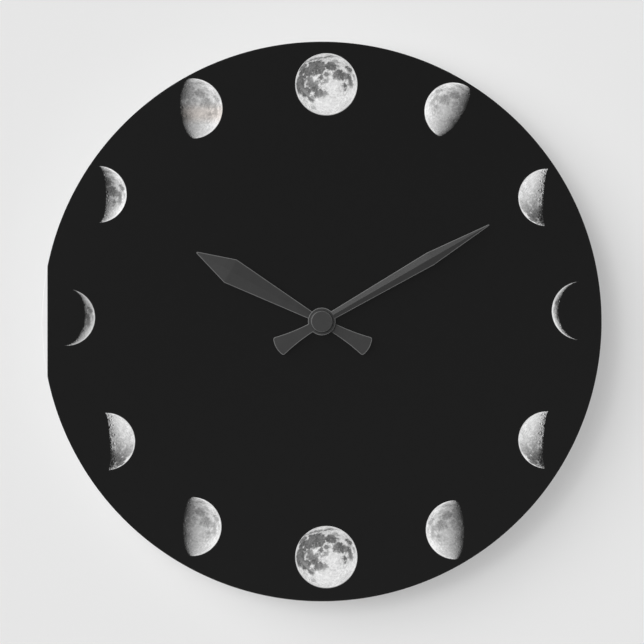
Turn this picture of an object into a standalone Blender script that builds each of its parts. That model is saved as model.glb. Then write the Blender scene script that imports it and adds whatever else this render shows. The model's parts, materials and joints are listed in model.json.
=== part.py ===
"""Moon phase wall clock: a printed acrylic disc and two hands on a battery movement.

Frame: +X is right and +Z is up as seen from the front, which faces -Y. The origin is where
the axis of the hands meets the wall, on the movement's flat back. Depth is counted from the
wall towards the viewer, so depth d lies at y = -d. Lengths are in metres. A direction is an
angle clockwise from 12 o'clock, which is also a positive turn about +Y.
"""

import math

import bmesh
import bpy
from mathutils import Matrix

# Clearances
SEAT_GAP = 0.0003
PIVOT_GAP = 0.0002
FILM_GAP = 0.00005
OVERSHOOT = 0.001

# Dial disc and its printed films
DISC_DIAMETER = 0.27305
DISC_THICKNESS = 0.0048
DISC_BEVEL = 0.0003
PRINT_MARGIN = 0.0001
PRINT_THICKNESS = 0.00015
BARE_STRIP = 0.00276
MOON_THICKNESS = 0.0001

# Moons, whose print is drawn for a disc of radius 1: hour, centre x and z, radius, direction of
# the lit limb in degrees clockwise from 12, and how far the lit part passes the moon's centre,
# as a share of the moon's radius
FULL_MOON = 1.0
MOON_SHARES = (
    (12, 0.0161, 0.8467, 0.1113, 90, FULL_MOON),
    (1, 0.4688, 0.7508, 0.1025, 302, 0.34),
    (2, 0.8042, 0.4431, 0.1025, 273, -0.13),
    (3, 0.9258, 0.0381, 0.1047, 270, -0.77),
    (4, 0.8042, -0.4234, 0.1025, 273, -0.13),
    (5, 0.4768, -0.7442, 0.1055, 269, 0.31),
    (6, 0.0161, -0.8416, 0.1113, 90, FULL_MOON),
    (7, -0.4637, -0.7325, 0.1055, 91, 0.31),
    (8, -0.7691, -0.4285, 0.1025, 87, -0.13),
    (9, -0.9105, 0.0146, 0.1011, 98, -0.63),
    (10, -0.7977, 0.4541, 0.1011, 89, -0.27),
    (11, -0.4622, 0.7603, 0.1077, 85, 0.40),
)

# Hands
MINUTE_DIRECTION = math.radians(60.0)
HOUR_DIRECTION = math.radians(-61.1)
HAND_SHEET = 0.0005
HAND_CLEARANCE = 0.0008
HUB_THICKNESS = 0.0010
HUB_LAP = 0.0001
MINUTE_HUB_RADIUS = 0.0067
HOUR_HUB_RADIUS = 0.0064
MINUTE_REACH = 0.0940
MINUTE_SHOULDER = 0.0610
MINUTE_ROOT_HALF = 0.00186
MINUTE_SHOULDER_HALF = 0.00346
MINUTE_TIP_HALF = 0.00034
MINUTE_ROUNDING = 0.0015
MINUTE_CROWN = 0.16
HOUR_REACH = 0.0696
HOUR_SHOULDER = 0.0507
HOUR_ROOT_HALF = 0.00142
HOUR_SHOULDER_HALF = 0.00633
HOUR_TIP_HALF = 0.00054
HOUR_ROUNDING = 0.0004
HOUR_CROWN = 0.08
BLADE_START = 0.0012
MINUTE_TAIL_REACH = 0.0256
HOUR_TAIL_REACH = 0.0264
TAIL_END_RISE = 0.0012
TAIL_ROOT_HALF = 0.0021
TAIL_END_HALF = 0.0050
TAIL_FLARE_POWER = 2.2

# Fastening through the disc
GASKET_RADIUS = 0.0200
GASKET_THICKNESS = 0.0010
BUSH_RADIUS = 0.00385
BUSH_FLANGE_RADIUS = 0.0060
BUSH_FLANGE_THICKNESS = 0.0008
BUSH_STAND = 0.0006
THREAD_PITCH = 0.00075
THREAD_DEPTH = 0.00022
WASHER_RADIUS = 0.0065
WASHER_THICKNESS = 0.0008
NUT_ACROSS_FLATS = 0.0110
NUT_THICKNESS = 0.0025
CAP_RADIUS = 0.0055
CAP_HEIGHT = 0.0024
CAP_WALL = 0.0008
CAP_EDGE = 0.0010
CAP_DOME = 0.0001

# Shafts
HOUR_TUBE_RADIUS = 0.0025
MINUTE_SHAFT_RADIUS = 0.0016
SECONDS_ARBOR_RADIUS = 0.0005
ARBOR_RADIUS = 0.0006
PIVOT_RADIUS = 0.00035
PIVOT_LENGTH = 0.0010
MINUTE_STUD_RADIUS = 0.0008
HOUR_COLLAR_RADIUS = 0.0036
HOUR_TUBE_STAND = 0.0005
SHAFT_STAND = 0.0010

# Movement case
BATTERY_DIAMETER = 0.0145
BATTERY_LENGTH = 0.0505
BATTERY_SHOULDER = 0.0006
BATTERY_BUTTON_RADIUS = 0.00275
BATTERY_BUTTON_LENGTH = 0.0012
BATTERY_INSET = 0.0004
CONTACT_ROOM = 0.00155
CONTACT_SHEET = 0.0004
CONTACT_MARGIN = 0.0025
CONTACT_STRIP_WIDTH = 0.0020
CONTACT_TONGUE = 0.0014
CONTACT_LAP = 0.0012
LEAF_BOW = 0.0005
LEAF_HALF = 0.0035
CASE_WALL = 0.0012
CASE_TOP = 0.0280
CASE_CORNER = 0.0020
DIVIDER_THICKNESS = 0.0010
COVER_THICKNESS = 0.0012
PLATE_THICKNESS = 0.0010
PLATE_TOP = 0.0160
POST_RADIUS = 0.0013
POST_INSET = 0.0033
POST_EDGE = 0.0022
BOSS_RADIUS = 0.0013
BOSS_HEIGHT = 0.0005
KNOB_BOSS_RADIUS = 0.0019
CLIP_LEG = 0.0008
CLIP_HALF_WIDTH = 0.0020
CLIP_REACH = 0.0040
CLIP_BARB_DEPTH = 0.0012
CLIP_BARB_REACH = 0.0006

# Hanger
HANGER_THICKNESS = 0.0020
HANGER_BASE_HALF = 0.0100
HANGER_TOP_HALF = 0.0070
HANGER_RISE = 0.0110
HANGER_WAIST = 0.00385
HANGER_CHAMFER = 0.0015
HANGER_HOLE_RISE = 0.0020
HANGER_HOLE_HALF = 0.0045
HANGER_HOLE_HEIGHT = 0.0065
HANGER_PEAK_HALF = 0.0012
HANGER_PEAK_HEIGHT = 0.0030

# Gear train: tooth counts, modules and the directions of the arbors
GEAR_FACE = 0.0009
LAYER_GAP = 0.0006
MODULE = 0.00028
FINE_MODULE = 0.00022
ADDENDUM = 0.75
DEDENDUM = 1.2
ROOT_SHARE = 0.60
TIP_SHARE = 0.24
CENTRE_TEETH = 64
THIRD_PINION_TEETH = 8
THIRD_TEETH = 60
FOURTH_PINION_TEETH = 8
FOURTH_TEETH = 60
FIFTH_PINION_TEETH = 8
FIFTH_TEETH = 40
ROTOR_TEETH = 10
CANNON_TEETH = 16
MINUTE_WHEEL_TEETH = 48
MINUTE_PINION_TEETH = 12
HOUR_WHEEL_TEETH = 48
KNOB_TEETH = 20
THIRD_DIRECTION = math.radians(95)
FIFTH_DIRECTION = math.radians(-20)
ROTOR_DIRECTION = math.radians(30)
MINUTE_WHEEL_DIRECTION = math.radians(-45)
KNOB_DIRECTION = math.radians(-60)

# Motor
MAGNET_RADIUS = 0.0027
MAGNET_LENGTH = 0.0018
STATOR_THICKNESS = 0.0008
STATOR_AIR_GAP = 0.0005
STATOR_RING = 0.0012
STATOR_BAR_HALF = 0.0025
STATOR_HALF_WIDTH = 0.0125
STATOR_ARM_WIDTH = 0.0029
COIL_RISE = 0.0210
COIL_HALF_LENGTH = 0.0092
CORE_HALF_HEIGHT = 0.0011
BOBBIN_WALL = 0.0006
BOBBIN_FLANGE = 0.0007
BOBBIN_FLANGE_RADIUS = 0.0037
WINDING_RADIUS = 0.0034

# Circuit
BOARD_THICKNESS = 0.0010
BOARD_LEFT = 0.0129
BOARD_BOTTOM = -0.0080
BOARD_TOP = 0.0150
CRYSTAL_RADIUS = 0.0015
CRYSTAL_LENGTH = 0.0080
CRYSTAL_EDGE = 0.0003
CRYSTAL_X = 0.0162
CRYSTAL_Z = 0.0020
CHIP_RADIUS = 0.0026
CHIP_HEIGHT = 0.0012
CHIP_X = 0.0182
CHIP_Z = 0.0105

# Setting knob
KNOB_RADIUS = 0.0060
KNOB_THICKNESS = 0.0020
KNOB_GROOVES = 16
KNOB_GROOVE_DEPTH = 0.0003
KNOB_FLANGE_RADIUS = 0.0070
KNOB_FLANGE_THICKNESS = 0.0007
KNOB_SHAFT_RADIUS = 0.0012
KNOB_INSET = 0.0003

ADD, CUT = "UNION", "DIFFERENCE"


# Shapes


def polar(direction, distance, start=(0.0, 0.0)):
    """The point (x, z) this far from start in this direction."""
    return (
        start[0] + distance * math.sin(direction),
        start[1] + distance * math.cos(direction),
    )


def circle(radius, steps=24, centre=(0.0, 0.0)):
    return [polar(2 * math.pi * k / steps, radius, centre) for k in range(steps)]


def rectangle(left, right, bottom, top):
    return [(left, bottom), (right, bottom), (right, top), (left, top)]


def rounded_rectangle(left, right, bottom, top, radius, steps=4):
    corners = (
        (right - radius, top - radius, 0),
        (right - radius, bottom + radius, 90),
        (left + radius, bottom + radius, 180),
        (left + radius, top - radius, 270),
    )
    return [
        polar(math.radians(start + 90 * k / steps), radius, (x, z))
        for x, z, start in corners
        for k in range(steps + 1)
    ]


def prism(outline, back, front):
    """A flat plate with this outline (x, z), from depth back to depth front."""
    shape = bmesh.new()
    face = shape.faces.new([shape.verts.new((x, -back, z)) for x, z in outline])
    grown = bmesh.ops.extrude_face_region(shape, geom=[face], use_keep_orig=True)
    moved = [item for item in grown["geom"] if isinstance(item, bmesh.types.BMVert)]
    bmesh.ops.translate(shape, verts=moved, vec=(0, back - front, 0))
    bmesh.ops.recalc_face_normals(shape, faces=shape.faces)
    return shape


def turned(profile, steps=24, centre=(0.0, 0.0)):
    """A round piece about the +Y line through centre. The profile is (radius, depth) points."""
    shape = bmesh.new()
    verts = [shape.verts.new((radius, -depth, 0)) for radius, depth in profile]
    edges = [
        shape.edges.new((a, b))
        for a, b in zip(verts, verts[1:] + verts[:1])
        if a.co.x > 0 or b.co.x > 0
    ]
    bmesh.ops.spin(
        shape,
        geom=verts + edges,
        cent=(0, 0, 0),
        axis=(0, 1, 0),
        angle=2 * math.pi,
        steps=steps,
        use_merge=True,
    )
    bmesh.ops.remove_doubles(shape, verts=shape.verts, dist=1e-7)
    bmesh.ops.recalc_face_normals(shape, faces=shape.faces)
    bmesh.ops.translate(shape, verts=shape.verts, vec=(centre[0], 0, centre[1]))
    return shape


def rod(radius, back, front, centre=(0.0, 0.0), steps=10):
    return turned([(0, back), (radius, back), (radius, front), (0, front)], steps, centre)


def gear(teeth, module, back, front, turn=0.0):
    """A wheel of trapezoid teeth, one of which stands at the direction turn."""
    pitch_radius = teeth * module / 2
    root = pitch_radius - DEDENDUM * module
    tip = pitch_radius + ADDENDUM * module
    step = 2 * math.pi / teeth
    corners = ((root, -ROOT_SHARE), (tip, -TIP_SHARE), (tip, TIP_SHARE), (root, ROOT_SHARE))
    outline = [
        polar(turn + (k + share / 2) * step, radius)
        for k in range(teeth)
        for radius, share in corners
    ]
    return prism(outline, back, front)


def loft(sections):
    """A closed skin over sections that each have the same number of points."""
    shape = bmesh.new()
    rings = [[shape.verts.new(point) for point in section] for section in sections]
    count = len(rings[0])
    for first, second in zip(rings, rings[1:]):
        for k in range(count):
            after = (k + 1) % count
            shape.faces.new((first[k], first[after], second[after], second[k]))
    shape.faces.new(rings[0])
    shape.faces.new(rings[-1])
    bmesh.ops.recalc_face_normals(shape, faces=shape.faces)
    return shape


def laid(shape, direction, middle):
    """Turns a round piece made about +Y so that its +Y end points along direction."""
    turn = Matrix.Translation(middle) @ direction
    bmesh.ops.transform(shape, matrix=turn, verts=shape.verts)
    return shape


# Objects and finishes


def finish(name, colour, roughness, metallic=0.0):
    """A material with this linear colour."""
    made = bpy.data.materials.new(name)
    made.use_nodes = True
    shader = made.node_tree.nodes["Principled BSDF"]
    shader.inputs["Base Color"].default_value = (*colour, 1.0)
    shader.inputs["Roughness"].default_value = roughness
    shader.inputs["Metallic"].default_value = metallic
    made.diffuse_color = (*colour, 1.0)
    return made


def make_finishes():
    return {
        "acrylic": finish("white_acrylic", (0.84, 0.84, 0.83), 0.15),
        "print": finish("black_print", (0.013, 0.013, 0.013), 0.45),
        "moon": finish("moon_print", (0.55, 0.55, 0.55), 0.45),
        "hand": finish("hand_metal", (0.05, 0.05, 0.055), 0.45, 0.3),
        "case": finish("case_plastic", (0.02, 0.02, 0.022), 0.5),
        "rubber": finish("gasket_rubber", (0.02, 0.02, 0.02), 0.8),
        "brass": finish("brass", (0.78, 0.57, 0.24), 0.3, 1.0),
        "steel": finish("steel", (0.55, 0.55, 0.56), 0.35, 1.0),
        "nylon": finish("gear_nylon", (0.75, 0.74, 0.70), 0.45),
        "plate": finish("plate_plastic", (0.08, 0.08, 0.085), 0.5),
        "magnet": finish("rotor_ferrite", (0.04, 0.04, 0.045), 0.4),
        "copper": finish("winding_copper", (0.70, 0.28, 0.12), 0.35, 1.0),
        "board": finish("board_laminate", (0.02, 0.16, 0.06), 0.4),
        "epoxy": finish("chip_epoxy", (0.01, 0.01, 0.01), 0.35),
        "nickel": finish("contact_nickel", (0.66, 0.64, 0.60), 0.3, 1.0),
        "battery": finish("battery_sleeve", (0.10, 0.11, 0.13), 0.35),
        "knob": finish("knob_plastic", (0.70, 0.70, 0.68), 0.5),
    }


def object_of(name, shape):
    mesh = bpy.data.meshes.new(name)
    shape.to_mesh(mesh)
    shape.free()
    made = bpy.data.objects.new(name, mesh)
    bpy.context.scene.collection.objects.link(made)
    return made


def piece(name, material, shape, *steps, axis=(0.0, 0.0), turn=0.0):
    """One named solid: the shape with each step's shape added or cut, on its own axis."""
    made = object_of(name, shape)
    helpers = []
    for operation, other in steps:
        helper = object_of(name + "_helper", other)
        helper.hide_render = True
        helper.display_type = "WIRE"
        modifier = made.modifiers.new("step", "BOOLEAN")
        modifier.operation = operation
        modifier.object = helper
        helpers.append(helper)
    if steps:
        bpy.context.view_layer.update()
        graph = bpy.context.evaluated_depsgraph_get()
        mesh = bpy.data.meshes.new_from_object(made.evaluated_get(graph))
        made.modifiers.clear()
        made.data = mesh
    for helper in helpers:
        bpy.data.objects.remove(helper)
    made.data.materials.clear()
    made.data.materials.append(material)
    made.data.shade_smooth()
    made.data.set_sharp_from_angle(angle=math.radians(35))
    made.location = (axis[0], 0, axis[1])
    made.rotation_euler = (0, turn, 0)
    return made


# Gear layout


def meshed(turn, teeth, direction, mate_teeth):
    """The turn that sets a mate's teeth in this gear's gaps. The mate lies in the direction."""
    pitches = (direction - turn) * teeth / (2 * math.pi)
    return direction + math.pi - (0.5 - pitches) * 2 * math.pi / mate_teeth


def centre_distance(module, teeth, mate_teeth):
    return module * (teeth + mate_teeth) / 2


def tip_radius(teeth, module):
    return (teeth / 2 + ADDENDUM) * module


third_distance = centre_distance(MODULE, CENTRE_TEETH, THIRD_PINION_TEETH)
third_axis = polar(THIRD_DIRECTION, third_distance)
third_module = 2 * third_distance / (THIRD_TEETH + FOURTH_PINION_TEETH)
fifth_axis = polar(
    FIFTH_DIRECTION, centre_distance(FINE_MODULE, FOURTH_TEETH, FIFTH_PINION_TEETH)
)
rotor_axis = polar(
    ROTOR_DIRECTION, centre_distance(FINE_MODULE, FIFTH_TEETH, ROTOR_TEETH), fifth_axis
)
minute_distance = centre_distance(MODULE, CANNON_TEETH, MINUTE_WHEEL_TEETH)
minute_axis = polar(MINUTE_WHEEL_DIRECTION, minute_distance)
hour_module = 2 * minute_distance / (MINUTE_PINION_TEETH + HOUR_WHEEL_TEETH)
knob_axis = polar(
    KNOB_DIRECTION, centre_distance(MODULE, MINUTE_WHEEL_TEETH, KNOB_TEETH), minute_axis
)
minute_wheel_turn = meshed(0, CANNON_TEETH, MINUTE_WHEEL_DIRECTION, MINUTE_WHEEL_TEETH)

# Depths inside the movement, from the wall forward
fourth_back = COVER_THICKNESS + BOSS_HEIGHT + PIVOT_GAP + SEAT_GAP
fourth_front = fourth_back + GEAR_FACE
fifth_back = fourth_front + LAYER_GAP
fifth_front = fifth_back + GEAR_FACE
magnet_back = fifth_front + SEAT_GAP
magnet_front = magnet_back + MAGNET_LENGTH
stator_back = magnet_back + (MAGNET_LENGTH - STATOR_THICKNESS) / 2
stator_front = stator_back + STATOR_THICKNESS
plate_back = magnet_front + LAYER_GAP
plate_front = plate_back + PLATE_THICKNESS
centre_back = plate_front + LAYER_GAP
centre_front = centre_back + GEAR_FACE
cannon_back = centre_front + SEAT_GAP
motion_back = centre_front + LAYER_GAP
motion_front = motion_back + GEAR_FACE
hour_back = motion_front + LAYER_GAP
hour_front = hour_back + GEAR_FACE
case_inner_front = BATTERY_INSET + BATTERY_DIAMETER + SEAT_GAP
case_front = case_inner_front + CASE_WALL

# Depths in front of the movement
gasket_back = case_front + SEAT_GAP
gasket_front = gasket_back + max(GASKET_THICKNESS, BUSH_FLANGE_THICKNESS)
disc_back = gasket_front + SEAT_GAP
disc_front = disc_back + DISC_THICKNESS
print_back = disc_front + FILM_GAP
print_front = print_back + PRINT_THICKNESS
moon_back = print_front + FILM_GAP
moon_front = moon_back + MOON_THICKNESS
washer_back = print_front + SEAT_GAP
washer_front = washer_back + WASHER_THICKNESS
nut_back = washer_front + SEAT_GAP
nut_front = nut_back + NUT_THICKNESS
bush_front = nut_front + BUSH_STAND
hour_hand_back = bush_front + HAND_CLEARANCE
hour_hand_front = hour_hand_back + HUB_THICKNESS
hour_ridge = hour_hand_back + HAND_SHEET + HOUR_CROWN * HOUR_SHOULDER_HALF
hour_tube_front = hour_hand_front + HOUR_TUBE_STAND
minute_hand_back = max(hour_tube_front, hour_ridge) + HAND_CLEARANCE
minute_hand_front = minute_hand_back + HUB_THICKNESS
shaft_front = minute_hand_front + SHAFT_STAND
cap_back = minute_hand_front + SEAT_GAP
cap_front = max(cap_back + CAP_HEIGHT, shaft_front + SEAT_GAP + CAP_WALL)

# Heights and widths of the movement
train_floor = third_axis[1] - tip_radius(THIRD_TEETH, third_module) - SEAT_GAP
divider_bottom = train_floor - DIVIDER_THICKNESS
bay_bottom = divider_bottom - BATTERY_DIAMETER - 2 * SEAT_GAP
case_bottom = bay_bottom - CASE_WALL
inner_top = CASE_TOP - CASE_WALL
inner_half = BATTERY_LENGTH / 2 + CONTACT_ROOM
case_half = inner_half + CASE_WALL
battery_height = (divider_bottom + bay_bottom) / 2
battery_depth = BATTERY_INSET + BATTERY_DIAMETER / 2
plate_bottom = train_floor + SEAT_GAP
post_x = inner_half - POST_INSET
post_places = [
    (side * post_x, height)
    for side in (-1, 1)
    for height in (plate_bottom + POST_EDGE, PLATE_TOP - POST_EDGE)
]
clip_heights = [
    plate_bottom + share * (inner_top - plate_bottom) for share in (0.25, 0.75)
]
arm_middle = STATOR_HALF_WIDTH - STATOR_ARM_WIDTH / 2
stator_posts = [(side * arm_middle, COIL_RISE) for side in (-1, 1)]
thread_hole = BUSH_RADIUS + SEAT_GAP


# Dial


def make_disc(finishes):
    radius = DISC_DIAMETER / 2
    profile = [
        (thread_hole, disc_back),
        (radius, disc_back),
        (radius, disc_front - DISC_BEVEL),
        (radius - DISC_BEVEL, disc_front),
        (thread_hole, disc_front),
    ]
    piece("acrylic_disc", finishes["acrylic"], turned(profile, 96))


def make_face_print(finishes):
    """The black film, a circle that stops in a straight line on the left."""
    radius = DISC_DIAMETER / 2 - PRINT_MARGIN
    bare = math.acos((DISC_DIAMETER / 2 - BARE_STRIP) / radius)
    first = -math.pi / 2 + bare
    sweep = 2 * math.pi - 2 * bare
    steps = 92
    outline = [polar(first + sweep * k / steps, radius) for k in range(steps + 1)]
    hole = rod(thread_hole, print_back - OVERSHOOT, print_front + OVERSHOOT, steps=24)
    piece("face_print", finishes["print"], prism(outline, print_back, print_front), (CUT, hole))


def moon_outline(radius, lit_direction, lit_share):
    """The lit part of a moon: half a circle, and half an ellipse for its shadow line."""
    limb_steps, shadow_steps = 15, 9
    if lit_share == FULL_MOON:
        return circle(radius, 2 * limb_steps)
    limb = [
        polar(lit_direction - math.pi / 2 + math.pi * k / limb_steps, radius)
        for k in range(limb_steps + 1)
    ]
    shadow = []
    for k in range(1, shadow_steps):
        along = math.pi / 2 - math.pi * k / shadow_steps
        past_centre = polar(lit_direction, -lit_share * radius * math.cos(along))
        shadow.append(polar(lit_direction + math.pi / 2, radius * math.sin(along), past_centre))
    return limb + shadow


def make_moons(finishes):
    scale = DISC_DIAMETER / 2
    for hour, x, z, radius, lit_degrees, lit_share in MOON_SHARES:
        outline = moon_outline(radius * scale, math.radians(lit_degrees), lit_share)
        shape = prism(outline, moon_back, moon_front)
        piece(f"moon_{hour:02d}", finishes["moon"], shape, axis=(x * scale, z * scale))


# Hands


def tail_stations(reach):
    """Distance and half width along the tail, from its round end to the hub."""
    end_radius = (TAIL_END_HALF**2 + TAIL_END_RISE**2) / (2 * TAIL_END_RISE)
    spread = math.asin(TAIL_END_HALF / end_radius)
    stations = []
    for share in (0.12, 0.4, 0.7, 0.9, 1.0):
        turn = spread * share
        distance = reach - end_radius * (1 - math.cos(turn))
        stations.append((-distance, end_radius * math.sin(turn)))
    for share in (0.97, 0.85, 0.7, 0.55, 0.4, 0.2, 0.05):
        flare = (TAIL_END_HALF - TAIL_ROOT_HALF) * share**TAIL_FLARE_POWER
        stations.append(((TAIL_END_RISE - reach) * share, TAIL_ROOT_HALF + flare))
    return stations


def blade_stations(reach, shoulder, root_half, shoulder_half, tip_half, rounding):
    """Distance and half width along the blade, from the hub to its blunt tip."""
    return [
        (BLADE_START, root_half),
        (shoulder - rounding, shoulder_half - 0.04 * rounding),
        (shoulder, shoulder_half),
        (shoulder + rounding, shoulder_half - 0.12 * rounding),
        (reach - tip_half, tip_half),
        (reach - 0.35 * tip_half, 0.75 * tip_half),
        (reach, 0.3 * tip_half),
    ]


def hand_blank(stations, crown, back):
    """A pressed sheet along +Z: flat in the tail, folded up to a ridge along the blade."""
    sections = []
    for distance, half in stations:
        rise = crown * half if distance > 0 else 0.0
        front = back + HAND_SHEET
        points = ((-half, back), (0, back + rise), (half, back))
        points += ((half, front), (0, front + rise), (-half, front))
        sections.append([(x, -depth, distance) for x, depth in points])
    return loft(sections)


def make_hand(name, material, blank, back, hub_radius, bore, direction):
    """The blank with a round hub and the bore through it."""
    front = back + HUB_THICKNESS
    hub = rod(hub_radius, back - HUB_LAP, front, steps=32)
    hole = rod(bore, back - OVERSHOOT, front + OVERSHOOT, steps=20)
    piece(name, material, blank, (ADD, hub), (CUT, hole), turn=direction)


def make_hands(finishes):
    hour = tail_stations(HOUR_TAIL_REACH) + blade_stations(
        HOUR_REACH,
        HOUR_SHOULDER,
        HOUR_ROOT_HALF,
        HOUR_SHOULDER_HALF,
        HOUR_TIP_HALF,
        HOUR_ROUNDING,
    )
    make_hand(
        "hour_hand",
        finishes["hand"],
        hand_blank(hour, HOUR_CROWN, hour_hand_back),
        hour_hand_back,
        HOUR_HUB_RADIUS,
        HOUR_TUBE_RADIUS + SEAT_GAP,
        HOUR_DIRECTION,
    )
    minute = tail_stations(MINUTE_TAIL_REACH) + blade_stations(
        MINUTE_REACH,
        MINUTE_SHOULDER,
        MINUTE_ROOT_HALF,
        MINUTE_SHOULDER_HALF,
        MINUTE_TIP_HALF,
        MINUTE_ROUNDING,
    )
    make_hand(
        "minute_hand",
        finishes["hand"],
        hand_blank(minute, MINUTE_CROWN, minute_hand_back),
        minute_hand_back,
        MINUTE_HUB_RADIUS,
        MINUTE_SHAFT_RADIUS + SEAT_GAP,
        MINUTE_DIRECTION,
    )


def make_cap_nut(finishes):
    """The closed nut on the minute shaft's end."""
    bore = MINUTE_SHAFT_RADIUS + SEAT_GAP
    profile = [
        (bore, cap_back),
        (CAP_RADIUS, cap_back),
        (CAP_RADIUS, cap_front - CAP_EDGE),
        (CAP_RADIUS - 0.4 * CAP_EDGE, cap_front - 0.5 * CAP_EDGE),
        (CAP_RADIUS - 1.5 * CAP_EDGE, cap_front - CAP_DOME),
        (0, cap_front),
        (0, shaft_front + SEAT_GAP),
        (bore, shaft_front + SEAT_GAP),
    ]
    piece("cap_nut", finishes["hand"], turned(profile, 32))


# Fastening through the disc


def make_bush(finishes):
    bore = HOUR_TUBE_RADIUS + SEAT_GAP
    flange_back = case_front + SEAT_GAP
    flange_front = flange_back + BUSH_FLANGE_THICKNESS
    profile = [(bore, case_inner_front), (BUSH_RADIUS, case_inner_front)]
    profile += [(BUSH_RADIUS, flange_back), (BUSH_FLANGE_RADIUS, flange_back)]
    profile += [(BUSH_FLANGE_RADIUS, flange_front), (BUSH_RADIUS - THREAD_DEPTH, flange_front)]
    turns = int((bush_front - washer_back) / THREAD_PITCH)
    for k in range(turns):
        start = bush_front - (turns - k) * THREAD_PITCH
        profile.append((BUSH_RADIUS - THREAD_DEPTH, start))
        profile.append((BUSH_RADIUS, start + THREAD_PITCH / 2))
    profile += [(BUSH_RADIUS - THREAD_DEPTH, bush_front), (bore, bush_front)]
    piece("threaded_bush", finishes["brass"], turned(profile, 16))


def make_gasket(finishes):
    hole = BUSH_FLANGE_RADIUS + SEAT_GAP
    profile = [(hole, gasket_back), (GASKET_RADIUS, gasket_back)]
    profile += [(GASKET_RADIUS, gasket_back + GASKET_THICKNESS)]
    profile += [(hole, gasket_back + GASKET_THICKNESS)]
    piece("rubber_gasket", finishes["rubber"], turned(profile, 32))


def make_washer(finishes):
    profile = [(thread_hole, washer_back), (WASHER_RADIUS, washer_back)]
    profile += [(WASHER_RADIUS, washer_front), (thread_hole, washer_front)]
    piece("flat_washer", finishes["brass"], turned(profile, 28))


def make_nut(finishes):
    corner = NUT_ACROSS_FLATS / 2 / math.cos(math.pi / 6)
    hole = rod(thread_hole, nut_back - OVERSHOOT, nut_front + OVERSHOOT, steps=20)
    blank = prism(circle(corner, 6), nut_back, nut_front)
    piece("hex_nut", finishes["brass"], blank, (CUT, hole))


# Movement case


def blind_boss(axis, back, front, hole_back, hole_front, radius=BOSS_RADIUS, hole=None):
    """A boss and the blind hole in it for a pivot."""
    hole_radius = hole or PIVOT_RADIUS + PIVOT_GAP
    boss = rod(radius, back, front, axis)
    return [(ADD, boss), (CUT, rod(hole_radius, hole_back, hole_front, axis))]


def clip_box(side, height, inner, outer, half_width, back, front):
    """A box at one side of the cover, between two distances out from the cover's edge."""
    edge = inner_half - SEAT_GAP
    left, right = sorted((side * (edge + inner), side * (edge + outer)))
    return prism(rectangle(left, right, height - half_width, height + half_width), back, front)


def make_case(finishes):
    """The front case: the battery bay below, the train above, both open to the wall."""
    outer = rounded_rectangle(-case_half, case_half, case_bottom, CASE_TOP, CASE_CORNER)
    train_room = rectangle(-inner_half, inner_half, train_floor, inner_top)
    bay = rectangle(-inner_half, inner_half, bay_bottom, divider_bottom)
    hanger_slot = rectangle(
        -HANGER_BASE_HALF - SEAT_GAP,
        HANGER_BASE_HALF + SEAT_GAP,
        inner_top - OVERSHOOT,
        CASE_TOP + OVERSHOOT,
    )
    steps = [
        (CUT, prism(train_room, -OVERSHOOT, case_inner_front)),
        (CUT, prism(bay, -OVERSHOOT, case_inner_front)),
        (CUT, prism(hanger_slot, -OVERSHOOT, HANGER_THICKNESS + SEAT_GAP)),
        (CUT, rod(thread_hole, case_inner_front - OVERSHOOT, case_front + OVERSHOOT, steps=24)),
    ]
    into_wall = case_inner_front + CASE_WALL / 2
    for place in post_places:
        steps.append((ADD, rod(POST_RADIUS, plate_front + SEAT_GAP, into_wall, place)))
    steps.append((ADD, rod(MINUTE_STUD_RADIUS, motion_back, into_wall, minute_axis)))
    third_boss = centre_front + LAYER_GAP + SEAT_GAP
    steps += blind_boss(
        third_axis, third_boss, into_wall, third_boss - OVERSHOOT, third_boss + PIVOT_LENGTH
    )
    steps += blind_boss(
        knob_axis,
        hour_back,
        into_wall,
        hour_back - OVERSHOOT,
        hour_front + SEAT_GAP,
        KNOB_BOSS_RADIUS,
        KNOB_SHAFT_RADIUS + PIVOT_GAP,
    )
    for side in (-1, 1):
        for height in clip_heights:
            window = clip_box(
                side,
                height,
                -OVERSHOOT,
                CLIP_BARB_REACH + SEAT_GAP,
                CLIP_HALF_WIDTH + SEAT_GAP,
                CLIP_REACH - CLIP_BARB_DEPTH - SEAT_GAP,
                CLIP_REACH + SEAT_GAP,
            )
            steps.append((CUT, window))
    for left, right, back, front in contact_slots():
        slot = rectangle(left, right, divider_bottom - OVERSHOOT, train_floor + OVERSHOOT)
        steps.append((CUT, prism(slot, back, front)))
    piece("movement_case", finishes["case"], prism(outer, 0, case_front), *steps)


def hanger_outline(bottom):
    top = CASE_TOP + HANGER_RISE
    return [
        (-HANGER_BASE_HALF, bottom),
        (HANGER_BASE_HALF, bottom),
        (HANGER_BASE_HALF, CASE_TOP + HANGER_WAIST),
        (HANGER_TOP_HALF, top - HANGER_CHAMFER),
        (HANGER_TOP_HALF - HANGER_CHAMFER, top),
        (HANGER_CHAMFER - HANGER_TOP_HALF, top),
        (-HANGER_TOP_HALF, top - HANGER_CHAMFER),
        (-HANGER_BASE_HALF, CASE_TOP + HANGER_WAIST),
    ]


def hanger_hole_outline():
    """A nail hole that narrows to the top, so that the clock centres itself."""
    bottom = CASE_TOP + HANGER_HOLE_RISE
    top = bottom + HANGER_HOLE_HEIGHT
    return [
        (-HANGER_HOLE_HALF, bottom),
        (HANGER_HOLE_HALF, bottom),
        (HANGER_HOLE_HALF, top - HANGER_PEAK_HEIGHT),
        (HANGER_PEAK_HALF, top),
        (-HANGER_PEAK_HALF, top),
        (-HANGER_HOLE_HALF, top - HANGER_PEAK_HEIGHT),
    ]


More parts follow.
